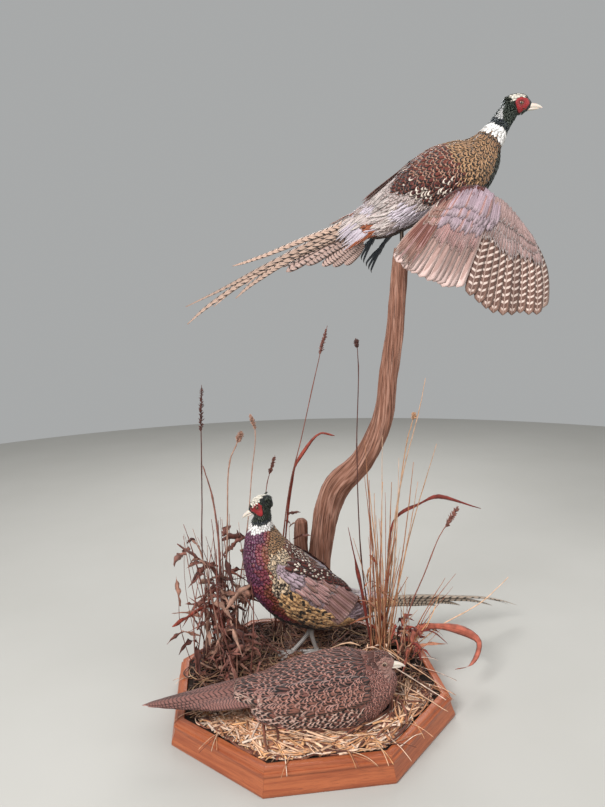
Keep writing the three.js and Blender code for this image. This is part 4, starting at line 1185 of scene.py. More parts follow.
tail = {
    "long": [[-207, 1, 5, 9], [-260, 6, 3, 9.5], [-310, 11, 1, 9], [-375, 20, 0, 8.5], [-444, 22, 0, 8],
             [-498, 17, 0, 6.5], [-554, 9, 0, 4.4], [-599, -4, 0, 1.4]],
    "longFar": [[-207, 9, 5.6, 9], [-310, 19, 2.8, 8], [-420, 27, 1.4, 6.5], [-500, 31, 1, 4.2],
                [-586, 40, 0, 1.2]],
    "high": [[-207, 17, 6.4, 9], [-255, 20, 6.4, 9], [-318, 34, 7, 8], [-382, 46, 7, 6], [-437, 60, 7, 3.8],
             [-459, 68, 6, 1.2]],
    "sideTips": [[-395, 6, 0], [-335, 12, 0], [-300, 30, 0], [-276, 42, 0], [-246, 50, 0]],
    "sideRoots": [[-207, 3, 0], [-207, 12, 0], [-207, 22, 0], [-207, 30, 0], [-207, 36, 0]],
    "roof": 0.6,
}


def tailFeather(stations, steps):
    rows = sampled(stations, steps - 1)
    return rows[:, :3], rows[:, 3]


def buildFlyingTail():
    rows = []
    steps = 30

    def add(points, half, up, kind):
        rows.append((points, unit(np.array(up, float)), half, kind, None))

    for key in ("long", "longFar", "high"):
        points, half = tailFeather(tail[key], steps)
        points[:, 0] += 22 * np.linspace(1, 0, steps) ** 3  # the quill runs on under the rump
        add(points + np.array([0, 0, 0.5]), half, (0, 0, 1), "tail")
    for share, aside, drop in ((0.86, 6, -1.3), (0.74, -5, -1.6), (0.66, 12, -1.9)):
        points, half = tailFeather(tail["long"], steps)
        root = points[0].copy()
        points = root + (points - root) * share + np.array([10, aside, drop])
        add(points, half * 0.95, (0, 0.12 * np.sign(aside), 1), "tail")
    for side in (1, -1):
        for i in range(5):
            t = (2 * i + 1) / 10
            start = curvePoint(np.array(tail["sideRoots"], float), t)
            end = curvePoint(np.array(tail["sideTips"], float), t)
            s = np.linspace(-0.06, 1, steps)[:, None]
            flat = start + (end - start) * s
            bend = 3.0 * np.sin(math.pi * s[:, 0]) * (i - 2) * 0.4
            y = flat[:, 1] + bend
            points = np.stack([flat[:, 0], side * y, -2.6 - tail["roof"] * y - 0.25 * i], -1)
            add(points, bladeHalves(steps, 9.5 - i * 0.3, 0.55, 0.78, 0.3), (0, side * 0.5, 1), "tailSide")
    shape = featherShape(rows, 81, sides=8, long=True, camber=0.16, thick=0.4)
    buildPiece("flyingTail", shape, quillMaterial,
               ("flying_tail_middle", "flying_tail_left", "flying_tail_right"), flyingBird.place)
    # long loose rump feathers that cover the roots of the tail
    rng = np.random.default_rng(82)
    rows = []
    v = np.linspace(0, 1, 6)[:, None]
    for _ in range(260):
        a = rng.uniform(-1.9, 1.9)
        x0 = rng.uniform(-190, -158)
        around = np.array([0, math.sin(a) * 33, -6 + math.cos(a) * 20])
        length = rng.uniform(42, 66)
        start = np.array([x0, 0, 0]) + around
        drift = np.array([-1, 0.10 * math.sin(a) + rng.normal(0, 0.05), -0.12 * math.cos(a)])
        line = start + drift * length * v + np.array([0, 0, -4]) * v ** 2 * math.cos(a)
        kind = "rust" if abs(a) > 1.25 and rng.uniform() < 0.7 else ("rumpGreen" if a > 0 else "rump")
        half = 2.6 * np.array([0.5, 0.9, 1, 0.85, 0.5, 0.06])
        rows.append((line, np.array([0.15, math.sin(a), math.cos(a)]), half,
                     "vent" if abs(a) > 1.6 else kind, (0.5 + a / 6.5, 0.02 + 0.05 * (x0 + 190) / 32)))
    buildPiece("flyingRumpFeathers", featherShape(rows, 83), contourMaterial, (),
               flyingBird.place)


def legMaterial(name, colour, dark, plate):
    # horny scutes of a dried leg: satin plates with dark joints
    material, tree = newMaterial(name, {"Roughness": 0.48, "IOR": 1.54})
    along = addNode(tree, "SeparateXYZ",
                    inputs={0: addNode(tree, "Attribute", {"attribute_name": "grain"}, out=1)},
                    out=None).outputs
    wave = addNode(tree, "Math", {"operation": "SINE"},
                   {0: addNode(tree, "Math", {"operation": "MULTIPLY"},
                               {0: along[0], 1: 2 * math.pi / plate})})
    joint = addNode(tree, "MapRange", inputs={0: wave, 1: -1.0, 2: -0.6, 3: 0.0, 4: 1.0})
    colour = addNode(tree, "Mix", {"data_type": "RGBA"}, {0: joint, 6: linear(dark), 7: linear(colour)}, 2)
    return dressed(material, colour, joint, 0.7, 0.0004)


slateScutes = legMaterial("scutesSlate", "#39424C", "#14181C", 3.2)
greyScutes = legMaterial("scutesGrey", "#9A938E", "#4E4845", 3.4)
clawHorn = legMaterial("clawHorn", "#1C1A1A", "#161414", 60.0)


def toeShape(stations, steps=14, sides=12, plate=3.2):
    # a toe or shank with a low ridge at each scute
    rows = sampled(stations, steps * 3)
    arc = arcOf(rows[:, :3])
    across, up = carriedFrame(rows[:, :3], (0.2, 1, 0.1))
    radius = (np.maximum(rows[:, 3], 0.25) * (1 + 0.07 * np.abs(np.sin(math.pi * arc / plate))))[:, None]
    rings = ringsRound(rows[:, :3], across, up, radius, radius, roundAngles(sides))
    grain = np.stack([arc, 0 * arc, 0 * arc], -1)
    return ringShape(rings, {"grain": grain})


def clawShape(base, way, down, length, radius):
    # a horn cone that bends from way towards down
    v = np.linspace(0, 1, 9)[:, None]
    way, down = unit(np.array(way, float)), unit(np.array(down, float))
    bend = v * 1.25
    places = np.array(base) + way * length * np.sin(bend) / 1.25 + down * length * (1 - np.cos(bend)) * 0.75
    rows = np.concatenate([places, radius * (1 - v) ** 0.8 + 0.12], 1)
    return toeShape(rows, 4, 8, 60)


def buildFlyingLegs():
    legs, claws = [], []
    spread = (-0.5, -0.12, 0.28)
    for side in (1, -1):
        y = side * 17
        legs.append(toeShape([[-112, y, -40, 7.5], [-138, y, -60, 5.2], [-160, y, -76, 3.4]], 12))
        legs.append(toeShape([[-155, y, -72, 4], [-161, y, -78, 5], [-166, y, -82, 4]], 5))
        for s in spread:
            legs.append(toeShape([[-162, y, -79, 3.3], [-180, y + 14 * s, -90, 2.9],
                                  [-197, y + 26 * s, -105, 2.2],
                                  [-201, y + 28 * s, -110, 1.9]], 10))
            tip = (-200.5, y + 27.5 * s, -109.5)
            claws.append(clawShape(tip, (-0.55, 0.1 * s, -0.9), (0.4, 0, -1), 10, 1.8))
        legs.append(toeShape([[-160, y, -79, 2.8], [-166, y, -90, 2.2], [-169, y, -94, 1.7]], 5))
        claws.append(clawShape((-168.5, y, -93.5), (-0.5, 0, -1), (0.6, 0, -1), 6, 1.4))
    buildPiece("flyingLegs", joinShapes(legs), slateScutes,
               ("flying_shank_left", "flying_shank_right", "flying_foot_left",
                "flying_foot_right"), flyingBird.place)
    buildPiece("flyingClaws", joinShapes(claws), clawHorn, (), flyingBird.place)


buildFlyingTail()
buildFlyingLegs()


def rodMaterial():
    # round steel bar, drawn and left to brown: fine lines along it, thin oxide
    material, tree = newMaterial("brownedSteel", {"Metallic": 1.0, "Roughness": 0.5})
    place = addNode(tree, "TexCoord", out=3)
    drawn = addNode(tree, "VectorMath", {"operation": "MULTIPLY"}, {0: place, 1: (1.0, 1.0, 0.03)})
    lines = addNode(tree, "TexNoise", inputs={"Vector": drawn, "Scale": 2200.0, "Detail": 2.0})
    tone = addNode(tree, "Mix", {"data_type": "RGBA"},
                   {0: lines, 6: linear("#3A322C"), 7: linear("#6A5E54")}, 2)
    return dressed(material, tone, lines, 0.2, 0.0001)


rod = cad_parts["support_rod"]
rod.data.materials.clear()
rod.data.materials.append(rodMaterial())


# Standing cock

standing = {
    "place": {"at": (5, 85, 45.4), "yaw": 195, "pitch": 0, "bank": 0},
    "headPlace": {"at": (94, 4, 357), "yaw": -17, "pitch": -28, "bank": -5},
    "headLength": 54,
    "trunk": [[-196, 0, 90, 30, 14], [-150, 0, 94, 38, 24], [-100, 0, 96, 48, 41], [-40, 0, 114, 59, 62],
              [14, 0, 152, 65, 75], [56, 0, 198, 65, 72], [80, 0, 245, 56, 57], [90, 0, 284, 38, 41],
              [92, 0, 312, 26, 28]],
    "neck": [[91, 0, 290, 32], [91, 1, 312, 25], [90, 3, 331, 20.5], [90, 4, 347, 18.5],
             [91, 4, 359, 13.5]],
    "wing": [[72, 50, 238, 8, 18], [40, 58, 216, 13, 34], [0, 60, 184, 13, 42], [-40, 55, 150, 12, 42],
             [-85, 42, 110, 9, 32], [-115, 34, 82, 5, 18], [-128, 30, 66, 1.5, 4]],
    "tail": [[-180, 0, 92, 30, 9], [-230, 0, 88, 24, 5], [-300, 0, 77, 17, 3], [-390, 0, 57, 12, 2],
             [-480, 0, 36, 8, 1.2], [-540, 0, 14, 5, 0.9], [-580, 0, -6, 1.2, 0.7]],
    "ring": ((91, 0, 316), (90, 2, 330)),
    "ringSlope": 6,  # how much higher the ring sits at the nape than at the throat, halved
}


def wingSample(numbers, side, t, h):
    # place on a folded wing: t along it, h across it from the lower edge (-1) to the upper edge (1)
    rows = sampled([[x, side * y, z, w, v] for x, y, z, w, v in numbers["wing"]], 24)
    f = t * 24
    k = min(23, int(f))
    row = rows[k] + (rows[k + 1] - rows[k]) * (f - k)
    tangent = unit(rows[min(24, k + 2), :3] - rows[max(0, k - 1), :3])
    up = unit(np.cross(tangent, np.array([0, 1.0, 0])))
    up = up if up[2] > 0 else -up
    out = np.array([0, side, 0.0])
    place = row[:3] + up * row[4] * h + out * (row[3] * math.sqrt(max(0.0, 1 - h * h)))
    return place, tangent, up, out


def foldedWing(bird, numbers, rows, steps, sides, seed, long=False):
    # rows of: side, t of the root, h, length, half width, kind, height, turn in degrees
    made = []
    for side, t, h, length, half, kind, height, swing in rows:
        place, tangent, up, out = wingSample(numbers, side, t, h)
        n = unit(out * math.sqrt(max(0.02, 1 - min(1, h * h))) + up * h * 0.8)
        hit, normal = bird.tree.find_nearest(Vector(place + n * 2))[:2]
        if normal.dot(Vector(n)) < 0:
            normal = -normal
        a = math.radians(swing)
        heading = tangent * math.cos(a) + up * math.sin(a)
        line, ups = bird.trace(np.array(hit), np.array(normal), length, steps, (0.4 + height, 2.2 + height),
                               lambda point: heading)
        made.append((line, ups, half, kind, (0.5 + side * (0.1 + 0.16 * (h + 1)), 0.1 + 0.8 * (1 - t))))
    lead = np.array([float(row[0]) for row in rows])
    return featherShape(made, seed, sides=sides, long=long, lead=lead, camber=0.12)


def buildStanding():
    numbers = standing
    numbers["head"] = turned(numbers["headPlace"])
    axis = [s[:3] for s in numbers["trunk"][:8]] + [s[:3] for s in numbers["neck"][1:4]]
    wings = [[[x, side * y, z, w, v] for x, y, z, w, v in numbers["wing"]] for side in (1, -1)]
    thighs = [[[-14, y, 96, 20], [-16, y, 78, 13], [-14, y, 60, 6.5]] for y in (-14, 4)]
    bird = makeBird("standing", numbers, axis, wings, thighs)
    ringLow, ringTop = (bird.arcAt(p) for p in numbers["ring"])
    headStart = bird.arcAt(moved(np.array([-16, 0, 0]) * bird.headSize, bird.head))
    mid = np.array(numbers["wing"], float)[:, [0, 2]]
    spans = np.array(numbers["wing"], float)[:, 4]
    rng = np.random.default_rng(22)

    def onWing(place):
        if abs(place[1]) < 34:
            return False
        best = min(range(len(mid)), key=lambda i: np.hypot(*(mid[i] - place[[0, 2]])))
        near = min(np.hypot(*(mid[i] + (mid[min(i + 1, 6)] - mid[i]) * w - place[[0, 2]])) - spans[i] * 0.9
                   for i in (max(0, best - 1), best) for w in (0, 0.5))
        return near < 0

    def choose(place, s, theta):
        q = bird.inHead(place)
        a = abs(math.degrees(theta))
        slope = numbers["ringSlope"] * math.cos(theta)
        below = ringLow + slope - s
        if s > headStart or (q[0] > -20 and q[2] > -17 and abs(q[1]) < 25 and place[2] > 336):
            return cockHeadKind(q, "brow", 31)
        if s > ringTop + slope:
            return ("violet" if s < ringTop + slope + 8 else "black", 1, 1, 1)
        if below < 0:
            return ("ring", 1.1, 1.4, 0.9)
        if onWing(place) and a > 62:
            return ("covert", 1.3, 1.1, 0.6)
        wave = float(noiseAt(place[None], 12, 30)[0])
        front = np.interp(below, [0, 25, 60, 110, 170, 240], [70, 88, 105, 125, 135, 138]) + 3 * wave
        if a > front:
            if below > 120 and a > np.interp(below, [120, 200, 300], [172, 140, 128]):
                return ("belly", 1.2, 1.1, 1)
            if a < front + 12 + 6 * wave:
                return ("breastCopper", 1.1, 1.45, 1)
            return ("breastRose" if a < front + 34 + 16 * wave or below > 150 else "breast", 1.1, 1.45, 1)
        if below < 6:
            return ("collar", 1, 1, 1)
        if below < 44 + 5 * wave:
            return ("mantle", 1.5, 1.35, 1)
        if below < 84 and a > 50:
            return ("shoulder", 1.35, 1.3, 1.1)
        if below < 112 and a > 62:
            return ("flankPale" if rng.uniform() < 0.6 else "shoulder", 1.6, 1.4, 1.1)
        if a > 70:
            if place[2] < 62:
                return ("vent", 1.2, 1, 1)
            return ("flank" if rng.uniform() < 0.3 and below < 250 else "flankPlain", 1.9, 1.5, 1.15)
        if below < 165:
            return ("scapularDot" if rng.uniform() < 0.4 and below < 120 else "mantleLow", 1.25, 1.1, 1.2)
        if below < 190:
            return ("rumpSpeckled", 1.3, 0.9, 1)
        if a > 52 and below > 270:
            return ("rust", 1.5, 0.9, 1)
        return ("rump" if wave > -0.4 else "rumpGreen", 2.0, 0.62, 1)

    def spacing(s):
        return np.interp(s, [0, ringLow - 60, ringLow, ringTop, headStart, headStart + 30],
                         [7.0, 6.6, 4.8, 4.3, 3.4, 2.9])

    roots = [r for r in coatRoots(bird, spacing, choose, 23) if r[0][2] > 40]
    rng = np.random.default_rng(24)
    rows, quills = [], []
    for side in (1, -1):
        # small coverts at the bend, then longer and longer ones towards the tip
        coverts = ((0.08, 17, 4.4, 0.24), (0.15, 24, 4.8, 0.22), (0.22, 34, 5, 0.18), (0.3, 56, 4.8, 0.13))
        for n, (t, length, half, step) in enumerate(coverts):
            for h in np.arange(-0.62 + 0.1 * (n % 2), 0.7, step):
                at = t + rng.uniform(-0.03, 0.03)
                kind = "covert" if t < 0.17 else ("covertStreak" if rng.uniform() < 0.75 else "covertBrown")
                rows.append((side, at, h + rng.uniform(-0.06, 0.06), length * rng.uniform(0.85, 1.15),
                             half * contourOutline, kind, 1.6 + (0.5 - t) * 4,
                             -6 + 6 * h + rng.normal(0, 2.5)))
        for i, h in enumerate(np.linspace(-0.66, 0.66, 12)):
            length = 84 - 12 * abs(h)
            quills.append((side, 0.46 + 0.03 * abs(h), h, length, bladeHalves(16, 6.4, 0.6, 0.88, 0.3),
                           "covertStreak" if i % 3 else "covertBrown", 0.6 + 0.12 * i, -6 + 8 * h))
        for i in range(9):
            quills.append((side, 0.34 + 0.04 * i, -0.97 + 0.02 * i, 112 - 4 * i,
                           bladeHalves(16, 4.2, 0.6, 0.85, 0.3), "primaryFolded", -0.6 + 0.1 * i,
                           -30 + 2.6 * i))
        for n in range(120):
            t, h = rng.uniform(0.02, 0.56), rng.uniform(0.1, 1.06)
            if h < 0.1 + t * 1.25:
                continue
            rows.append((side, t, h, rng.uniform(18, 24), rng.uniform(4.2, 5.4) * contourOutline,
                         "scapularDot" if n % 3 and t < 0.34 else "scapular", 3.0 + 2.0 * (0.6 - t), 8))
    dressCock("standing", bird, roots, choose, 33, ("standing_cock",), {})
    shape = foldedWing(bird, numbers, rows, 5, 4, 91)
    buildPiece("standingWingCoverts", shape, contourMaterial, (), bird.place)
    shape = foldedWing(bird, numbers, quills, 16, 8, 92, long=True)
    buildPiece("standingWingQuills", shape, quillMaterial, (), bird.place)

    # the tail: two long middle feathers over shorter pairs
    rows = []
    steps = 30
    base = sampled([[x, y, z, w] for x, y, z, w, v in numbers["tail"]], steps - 1)
    root = np.array([-176, 0, 92.0])
    v = np.linspace(0, 1, steps)
    # length as a share of the longest, how far aside, how far down and half width
    pairs = ((1.0, 1.5, 0, 10.5), (0.95, -4, -0.8, 10), (0.8, 8, -1.6, 10), (0.7, -10, -2.0, 10),
             (0.56, 14, -2.8, 10), (0.5, -15, -3.2, 10), (0.38, 19, -4.2, 10), (0.34, -20, -4.6, 10))
    for share, aside, drop, half in pairs:
        points = root + (base[:, :3] - root) * share
        points[:, 1] += aside * np.minimum(1, 1.6 - v)
        points[:, 2] += drop + 2
        rows.append((points, unit(np.array([0, 0.02 * aside, 1.0])), half * (1 - v ** 2.2) ** 0.7 + 0.5,
                     "tailOlive", None))
    shape = featherShape(rows, 93, sides=8, long=True, camber=0.18, thick=0.4)
    buildPiece("standingTail", shape, quillMaterial, (), bird.place)
    # shanks, toes and spurs
    legs, claws = [], []
    for y, footX in ((-14, 24), (4, -24)):
        legs.append(toeShape([[-14, y, 66, 6], [-14, y, 44, 4.4], [footX, y, 8, 4.2]], 22, plate=3.4))
        legs.append(toeShape([[footX, y, 12, 4.5], [footX, y, 6, 5.6], [footX, y, 2.5, 4.2]], 4))
        for s in (-0.5, 0, 0.5):
            legs.append(toeShape([[footX, y, 5.4, 4], [footX + 20, y + 22 * s, 4.2, 3.4],
                                  [footX + 36, y + 38 * s, 3.4, 2.5]], 9))
            claws.append(clawShape((footX + 35, y + 37 * s, 3.6), (1, s, 0.1), (0.2, 0, -1), 10, 2.0))
        legs.append(toeShape([[footX, y, 6, 3], [footX - 12, y, 3.4, 2.2]], 4))
        claws.append(clawShape((footX - 11, y, 3.6), (-1, 0, 0.1), (-0.2, 0, -1), 7, 1.6))
        claws.append(clawShape((footX * 0.5 - 9, y, 26), (-1, 0.2, 0.2), (0, 0, -1), 9, 2.6))
    buildPiece("standingLegs", joinShapes(legs), greyScutes, (), bird.place)
    buildPiece("standingClaws", joinShapes(claws), clawHorn, (), bird.place)


buildStanding()


# Sitting hen

hen = {
    "place": {"at": (20, -134, 45.4), "yaw": 0, "pitch": 0, "bank": 0},
    "headPlace": {"at": (99, -4, 99), "yaw": -5, "pitch": -7, "bank": 0},
    "headLength": 58,
    "trunk": [[-172, 0, 66, 22, 14], [-140, 0, 62, 38, 30], [-112, 0, 50, 54, 51], [-80, 0, 46, 63, 62],
              [-40, 0, 48, 69, 68], [0, 0, 50, 72, 73], [45, 0, 52, 71, 73], [80, 0, 54, 60, 62],
              [106, 0, 54, 44, 47], [121, 0, 52, 28, 32], [129, 0, 50, 12, 15]],
    "neck": [[64, 0, 70, 40], [80, -1, 84, 33], [92, -3, 94, 26], [99, -4, 100, 18]],
    "tail": [[-130, 0, 72, 36], [-200, 2, 64, 33], [-260, 4, 57, 26], [-310, 8, 50, 15], [-343, 12, 45, 2]],
    # the folded wing: its middle line, how deep it is and how high it reaches above and below that line
    "wing": [[70, 52, 82, 4, 22], [30, 60, 84, 4, 28], [-20, 60, 80, 4, 30], [-70, 54, 76, 4, 24],
             [-120, 40, 74, 3, 15], [-165, 24, 74, 2, 6]],
}


def buildHen():
    numbers = hen
    numbers["head"] = turned(numbers["headPlace"])
    axis = [s[:3] for s in numbers["trunk"][:8]] + [(92, -2, 88)]
    bird = makeBird("hen", numbers, axis)
    headStart = bird.arcAt(moved(np.array([-18, 0, 0]) * bird.headSize, bird.head))
    neckStart = bird.arcAt((74, 0, 60))

    def choose(place, s, theta):
        q = bird.inHead(place)
        a = abs(math.degrees(theta))
        if place[2] < 9:
            return None
        if q[0] > -26 and q[2] > -19 and abs(q[1]) < 25:
            if q[0] > 21:
                return None
            ahead = q[0] - 7
            fromEye = math.hypot(ahead / 2.1 if ahead > 0 else ahead, q[2] - 3)
            if abs(q[1]) > 5 and fromEye < 7:
                return None
            if abs(q[1]) > 5 and fromEye < 12:
                return ("henFace", 1, 1, 1)
            if q[2] < -2 and q[0] > -8:
                return ("henFace", 1, 1, 1)
            return ("henCrown", 1, 1, 1)
        if s > neckStart - 6 or place[0] > 96:
            return ("henNeck", 1, 1, 1)
        if place[2] < 14 and a > 110:
            return ("henBelly", 1.2, 1.1, 1)
        if a > 72 + 8 * math.sin(place[0] * 0.03):
            return ("henFlank", 1.6, 1.45, 1.15)
        return ("henBack", 1.5, 1.0, 1.2)

    def spacing(s):
        return np.interp(s, [0, neckStart - 30, neckStart, headStart, headStart + 20], [8.8, 8.6, 6.6, 4.4,
                                                                                        3.6])

    roots = coatRoots(bird, spacing, choose, 25)
    rng = np.random.default_rng(26)
    rows, quills = [], []
    for side in (1, -1):
        for n in range(190):
            t, h = n / 190 * 0.72 + rng.uniform(-0.02, 0.02), rng.uniform(-0.9, 0.9)
            length = 18 + 20 * t
            rows.append((side, max(0.0, t), h, length * rng.uniform(0.9, 1.15),
                         (5.6 + 2.2 * t) * contourOutline, "henWing" if h < 0.2 else "henBack",
                         1.2 + (0.75 - t) * 4.5, 4 * h + rng.normal(0, 4)))
        for i in range(9):
            h = -0.75 + 0.17 * i
            quills.append((side, 0.62 + rng.uniform(-0.02, 0.02), h, 62, bladeHalves(16, 6.4, 0.6, 0.85, 0.3),
                           "henTail", -0.1 + 0.1 * i, 3 * h))
    buildPiece("henSkin", skinShape(bird, choose), tannedSkin, ("sitting_hen",), bird.place)
    buildPiece("henCoat", coatShape(bird, roots, 35), contourMaterial, (), bird.place)
    shape = foldedWing(bird, numbers, rows, 5, 4, 94)
    buildPiece("henWingCoverts", shape, contourMaterial, (), bird.place)
    shape = foldedWing(bird, numbers, quills, 16, 8, 95, long=True)
    buildPiece("henWingQuills", shape, quillMaterial, (), bird.place)
    buildHead("hen", bird, {}, glassEyeBrown, paleLid, False)
    rows = []
    steps = 26
    base = sampled(numbers["tail"], steps - 1)
    v = np.linspace(0, 1, steps)
    roll = 0.25  # the tail is rolled towards the bird's right
    root = np.array([-128, 0, 72.0])
    # length as a share of the longest, and how far aside
    pairs = ((1.0, 0), (0.95, 5), (0.95, -5), (0.86, 10), (0.86, -10), (0.76, 15), (0.76, -15), (0.66, 19),
             (0.66, -19), (0.56, 23), (0.56, -23))
    for i, (share, aside) in enumerate(pairs):
        points = root + (base[:, :3] - root) * share
        points[:, 1] += aside * (1 - 0.35 * v) * 1.3
        points[:, 2] += 2.2 - abs(aside) * 0.16 - 0.2 * i + roll * aside * (1 - 0.35 * v) * 1.3
        rows.append((points, unit(np.array([0, 0.02 * aside - roll, 1.0])), 9.5 * (1 - v ** 3) ** 0.8 + 0.5,
                     "henTail", None))
    shape = featherShape(rows, 96, sides=8, long=True, camber=0.16, thick=0.4)
    buildPiece("henTail", shape, quillMaterial, (), bird.place)
    print("hen:", len(roots), "feathers")


buildHen()


# Wooden base

baseFrame = {
    "acrossFlats": 530,
    # outset from the rim's outer edge and height: underside, foot, cove, bead, step, rounded lip, inner wall
    "profile": [(8.5, 0), (9.7, 0.6), (10.5, 3), (10.4, 5.5), (9.8, 8), (8.6, 11), (7.4, 13.6), (6.6, 16),
                (5.6, 19.2), (4.5, 22.4), (3.8, 25), (3.1, 28), (2.6, 31), (2.7, 31.9), (3.7, 32.6),
                (4.1, 34), (4.2, 36), (3.9, 37.6), (3.2, 38.4), (0.7, 38.9), (0.2, 39.6), (0, 42),
                (-0.2, 44.5), (-0.7, 45.8), (-1.5, 46.6), (-3, 47), (-13.2, 47), (-14.3, 46.6), (-15, 45.6),
                (-15, 33), (-15, 0)],
    "mitreGap": 0.12,
    "light": "#B0613A",
    "mid": "#954A2A",
    "dark": "#5E2814",
}
groundTop = 45


def woodMaterial(name, numbers):
    # stained oak under satin varnish: straight grain, darker open pores, a soft even gloss
    material, tree = newMaterial(name, {"Roughness": 0.4, "IOR": 1.5, "Coat Weight": 0.25,
                                                "Coat Roughness": 0.28})
    grain = addNode(tree, "Attribute", {"attribute_name": "grain"}, out=1)
    # growth rings about 5 mm apart, pores 0.4 mm wide and 12 mm long
    wide = addNode(tree, "VectorMath", {"operation": "MULTIPLY"}, {0: grain, 1: (0.008, 0.2, 1.0)})
    rings = addNode(tree, "TexNoise", inputs={"Vector": wide, "Scale": 1.0, "Detail": 5.0, "Distortion": 0.6})
    fine = addNode(tree, "VectorMath", {"operation": "MULTIPLY"}, {0: grain, 1: (0.05, 2.2, 1.0)})
    pores = addNode(tree, "TexNoise", inputs={"Vector": fine, "Scale": 1.0, "Detail": 3.0})
    tone = addNode(tree, "MapRange", inputs={0: rings, 1: 0.36, 2: 0.62, 3: 0.0, 4: 1.0})
    colour = addNode(tree, "Mix", {"data_type": "RGBA"},
                     {0: tone, 6: linear(numbers["mid"]), 7: linear(numbers["light"])}, 2)
    deep = addNode(tree, "MapRange", inputs={0: pores, 1: 0.56, 2: 0.7, 3: 0.0, 4: 0.75})
    colour = addNode(tree, "Mix", {"data_type": "RGBA"}, {0: deep, 6: colour, 7: linear(numbers["dark"])}, 2)
    gloss = addNode(tree, "MapRange", inputs={0: pores, 1: 0.3, 2: 0.7, 3: 0.34, 4: 0.52})
    tree.links.new(gloss, tree.nodes["Principled BSDF"].inputs["Roughness"])
    return dressed(material, colour, pores, 0.25, 0.0002)


def cornerAt(k, reach):
    angle = math.pi / 8 + k * math.pi / 4
    return reach / math.cos(math.pi / 8) * np.array([math.cos(angle), math.sin(angle)])


def buildBase():
    half = baseFrame["acrossFlats"] / 2
    profile = np.array(baseFrame["profile"], float)
    arc = arcOf(profile)
    lengths = []
    for k in range(8):
        rings, grain = [], []
        for share in np.linspace(0, 1, 14):
            ring, marks = [], []
            for (outset, z), a in zip(profile, arc):
                start, end = cornerAt(k, half + outset), cornerAt(k + 1, half + outset)
                span = np.linalg.norm(end - start)
                inside = baseFrame["mitreGap"] / span
                at = start + (end - start) * (inside + (1 - 2 * inside) * share)
                ring.append([at[0], at[1], z])
                marks.append([span * (share - 0.5) + k * 731, a, k * 3.7])
            rings.append(ring)
            grain.append(marks)
        lengths.append(ringShape(np.array(rings), {"grain": np.array(grain)}))
    stained = woodMaterial("stainedOak", baseFrame)
    buildPiece("baseMoulding", joinShapes(lengths), stained, ("base_frame",), sharp=35)
    # the board that closes the base under the soil
    rings, grain = [], []
    for shrink, z in ((0.97, 2), (0.999, 2.6), (0.999, 32), (0.97, 32.6)):
        ring = [list(cornerAt(k, (half - 15.3) * shrink)) + [z] for k in range(8)]
        rings.append(ring)
        grain.append([[p[0], p[1], 1.0] for p in ring])
    board = ringShape(np.array(rings), {"grain": np.array(grain)})
    buildPiece("baseBoard", board, stained, sharp=35)


# Soil, straw and litter

def groundHeight(x, y):
    ripple = np.sin(0.045 * x + 0.6) * np.cos(0.052 * y - 0.4) + 0.5 * np.sin(0.11 * x - 0.09 * y)
    return groundTop - 1.6 * np.abs(ripple)


def soilMaterial():
    # dark peat and bark crumbs set in glue: rough, with painted shade nearly black in the hollows
    material, tree = newMaterial("peatSoil", {"Roughness": 0.9, "Specular IOR Level": 0.25})
    place = addNode(tree, "TexCoord", out=3)
    crumbs = addNode(tree, "TexVoronoi", inputs={"Vector": place, "Scale": 1000 / 3.5}, out=None).outputs
    fine = addNode(tree, "TexNoise", inputs={"Vector": place, "Scale": 420.0, "Detail": 6.0})
    tone = addNode(tree, "Mix", {"data_type": "RGBA"},
                   {0: fine, 6: linear("#120D0B"), 7: linear("#4A382E")}, 2)
    # painted shade: the colour falls to about a third between the crumbs, where the relief is lowest
    tint = addNode(tree, "MapRange", inputs={0: crumbs[0], 1: 0.0, 2: 0.6, 3: 1.15, 4: 0.35})
    colour = addNode(tree, "VectorMath", {"operation": "SCALE"}, {0: tone, "Scale": tint})
    height = addNode(tree, "Math", {"operation": "MULTIPLY_ADD"}, {0: crumbs[0], 1: -0.7, 2: fine})
    return dressed(material, colour, height, 1.0, 0.002)


def buildSoil():
    reach = baseFrame["acrossFlats"] / 2 - 15.4
    rings = [[list(cornerAt(k, reach) + (cornerAt(k + 1, reach) - cornerAt(k, reach)) * n / 24) + [33.4]
              for k in range(8) for n in range(24)]]
    for shrink in np.linspace(1, 0.02, 90) ** 0.9:
        ring = np.array(rings[0]) * (shrink, shrink, 0)
        lumps = 0.9 * noiseAt(ring, 61, 16) + 0.6 * noiseAt(ring, 62, 6)
        ring[:, 2] = groundHeight(ring[:, 0], ring[:, 1]) - 0.6 + lumps * min(1.0, (1 - shrink) * 20 + 0.3)
        rings.append(ring.tolist())
    buildPiece("soilBed", ringShape(np.array(rings)), soilMaterial(), ("ground",))


def ribbonShape(rows, seed, thick=0.3, camber=0.2, sides=4):
    # straws, leaves and blades: closed ribbons from rows of centre line, up, half widths and colour
    shape = featherShape([(line, up, half, "black", None) for line, up, half, tint in rows], seed,
                         thick=thick, camber=camber, sides=sides, long=True)
    each = len(shape["verts"]) // len(rows)
    tints = np.array([tint for line, up, half, tint in rows], float)
    lengths = np.array([[arcOf(line)[-1]] for line, up, half, tint in rows])
    shape["data"] = {"vane": shape["data"]["vane"], "tint": np.repeat(tints, each, 0),
                     "length": np.repeat(lengths, each, 0)}
    return shape


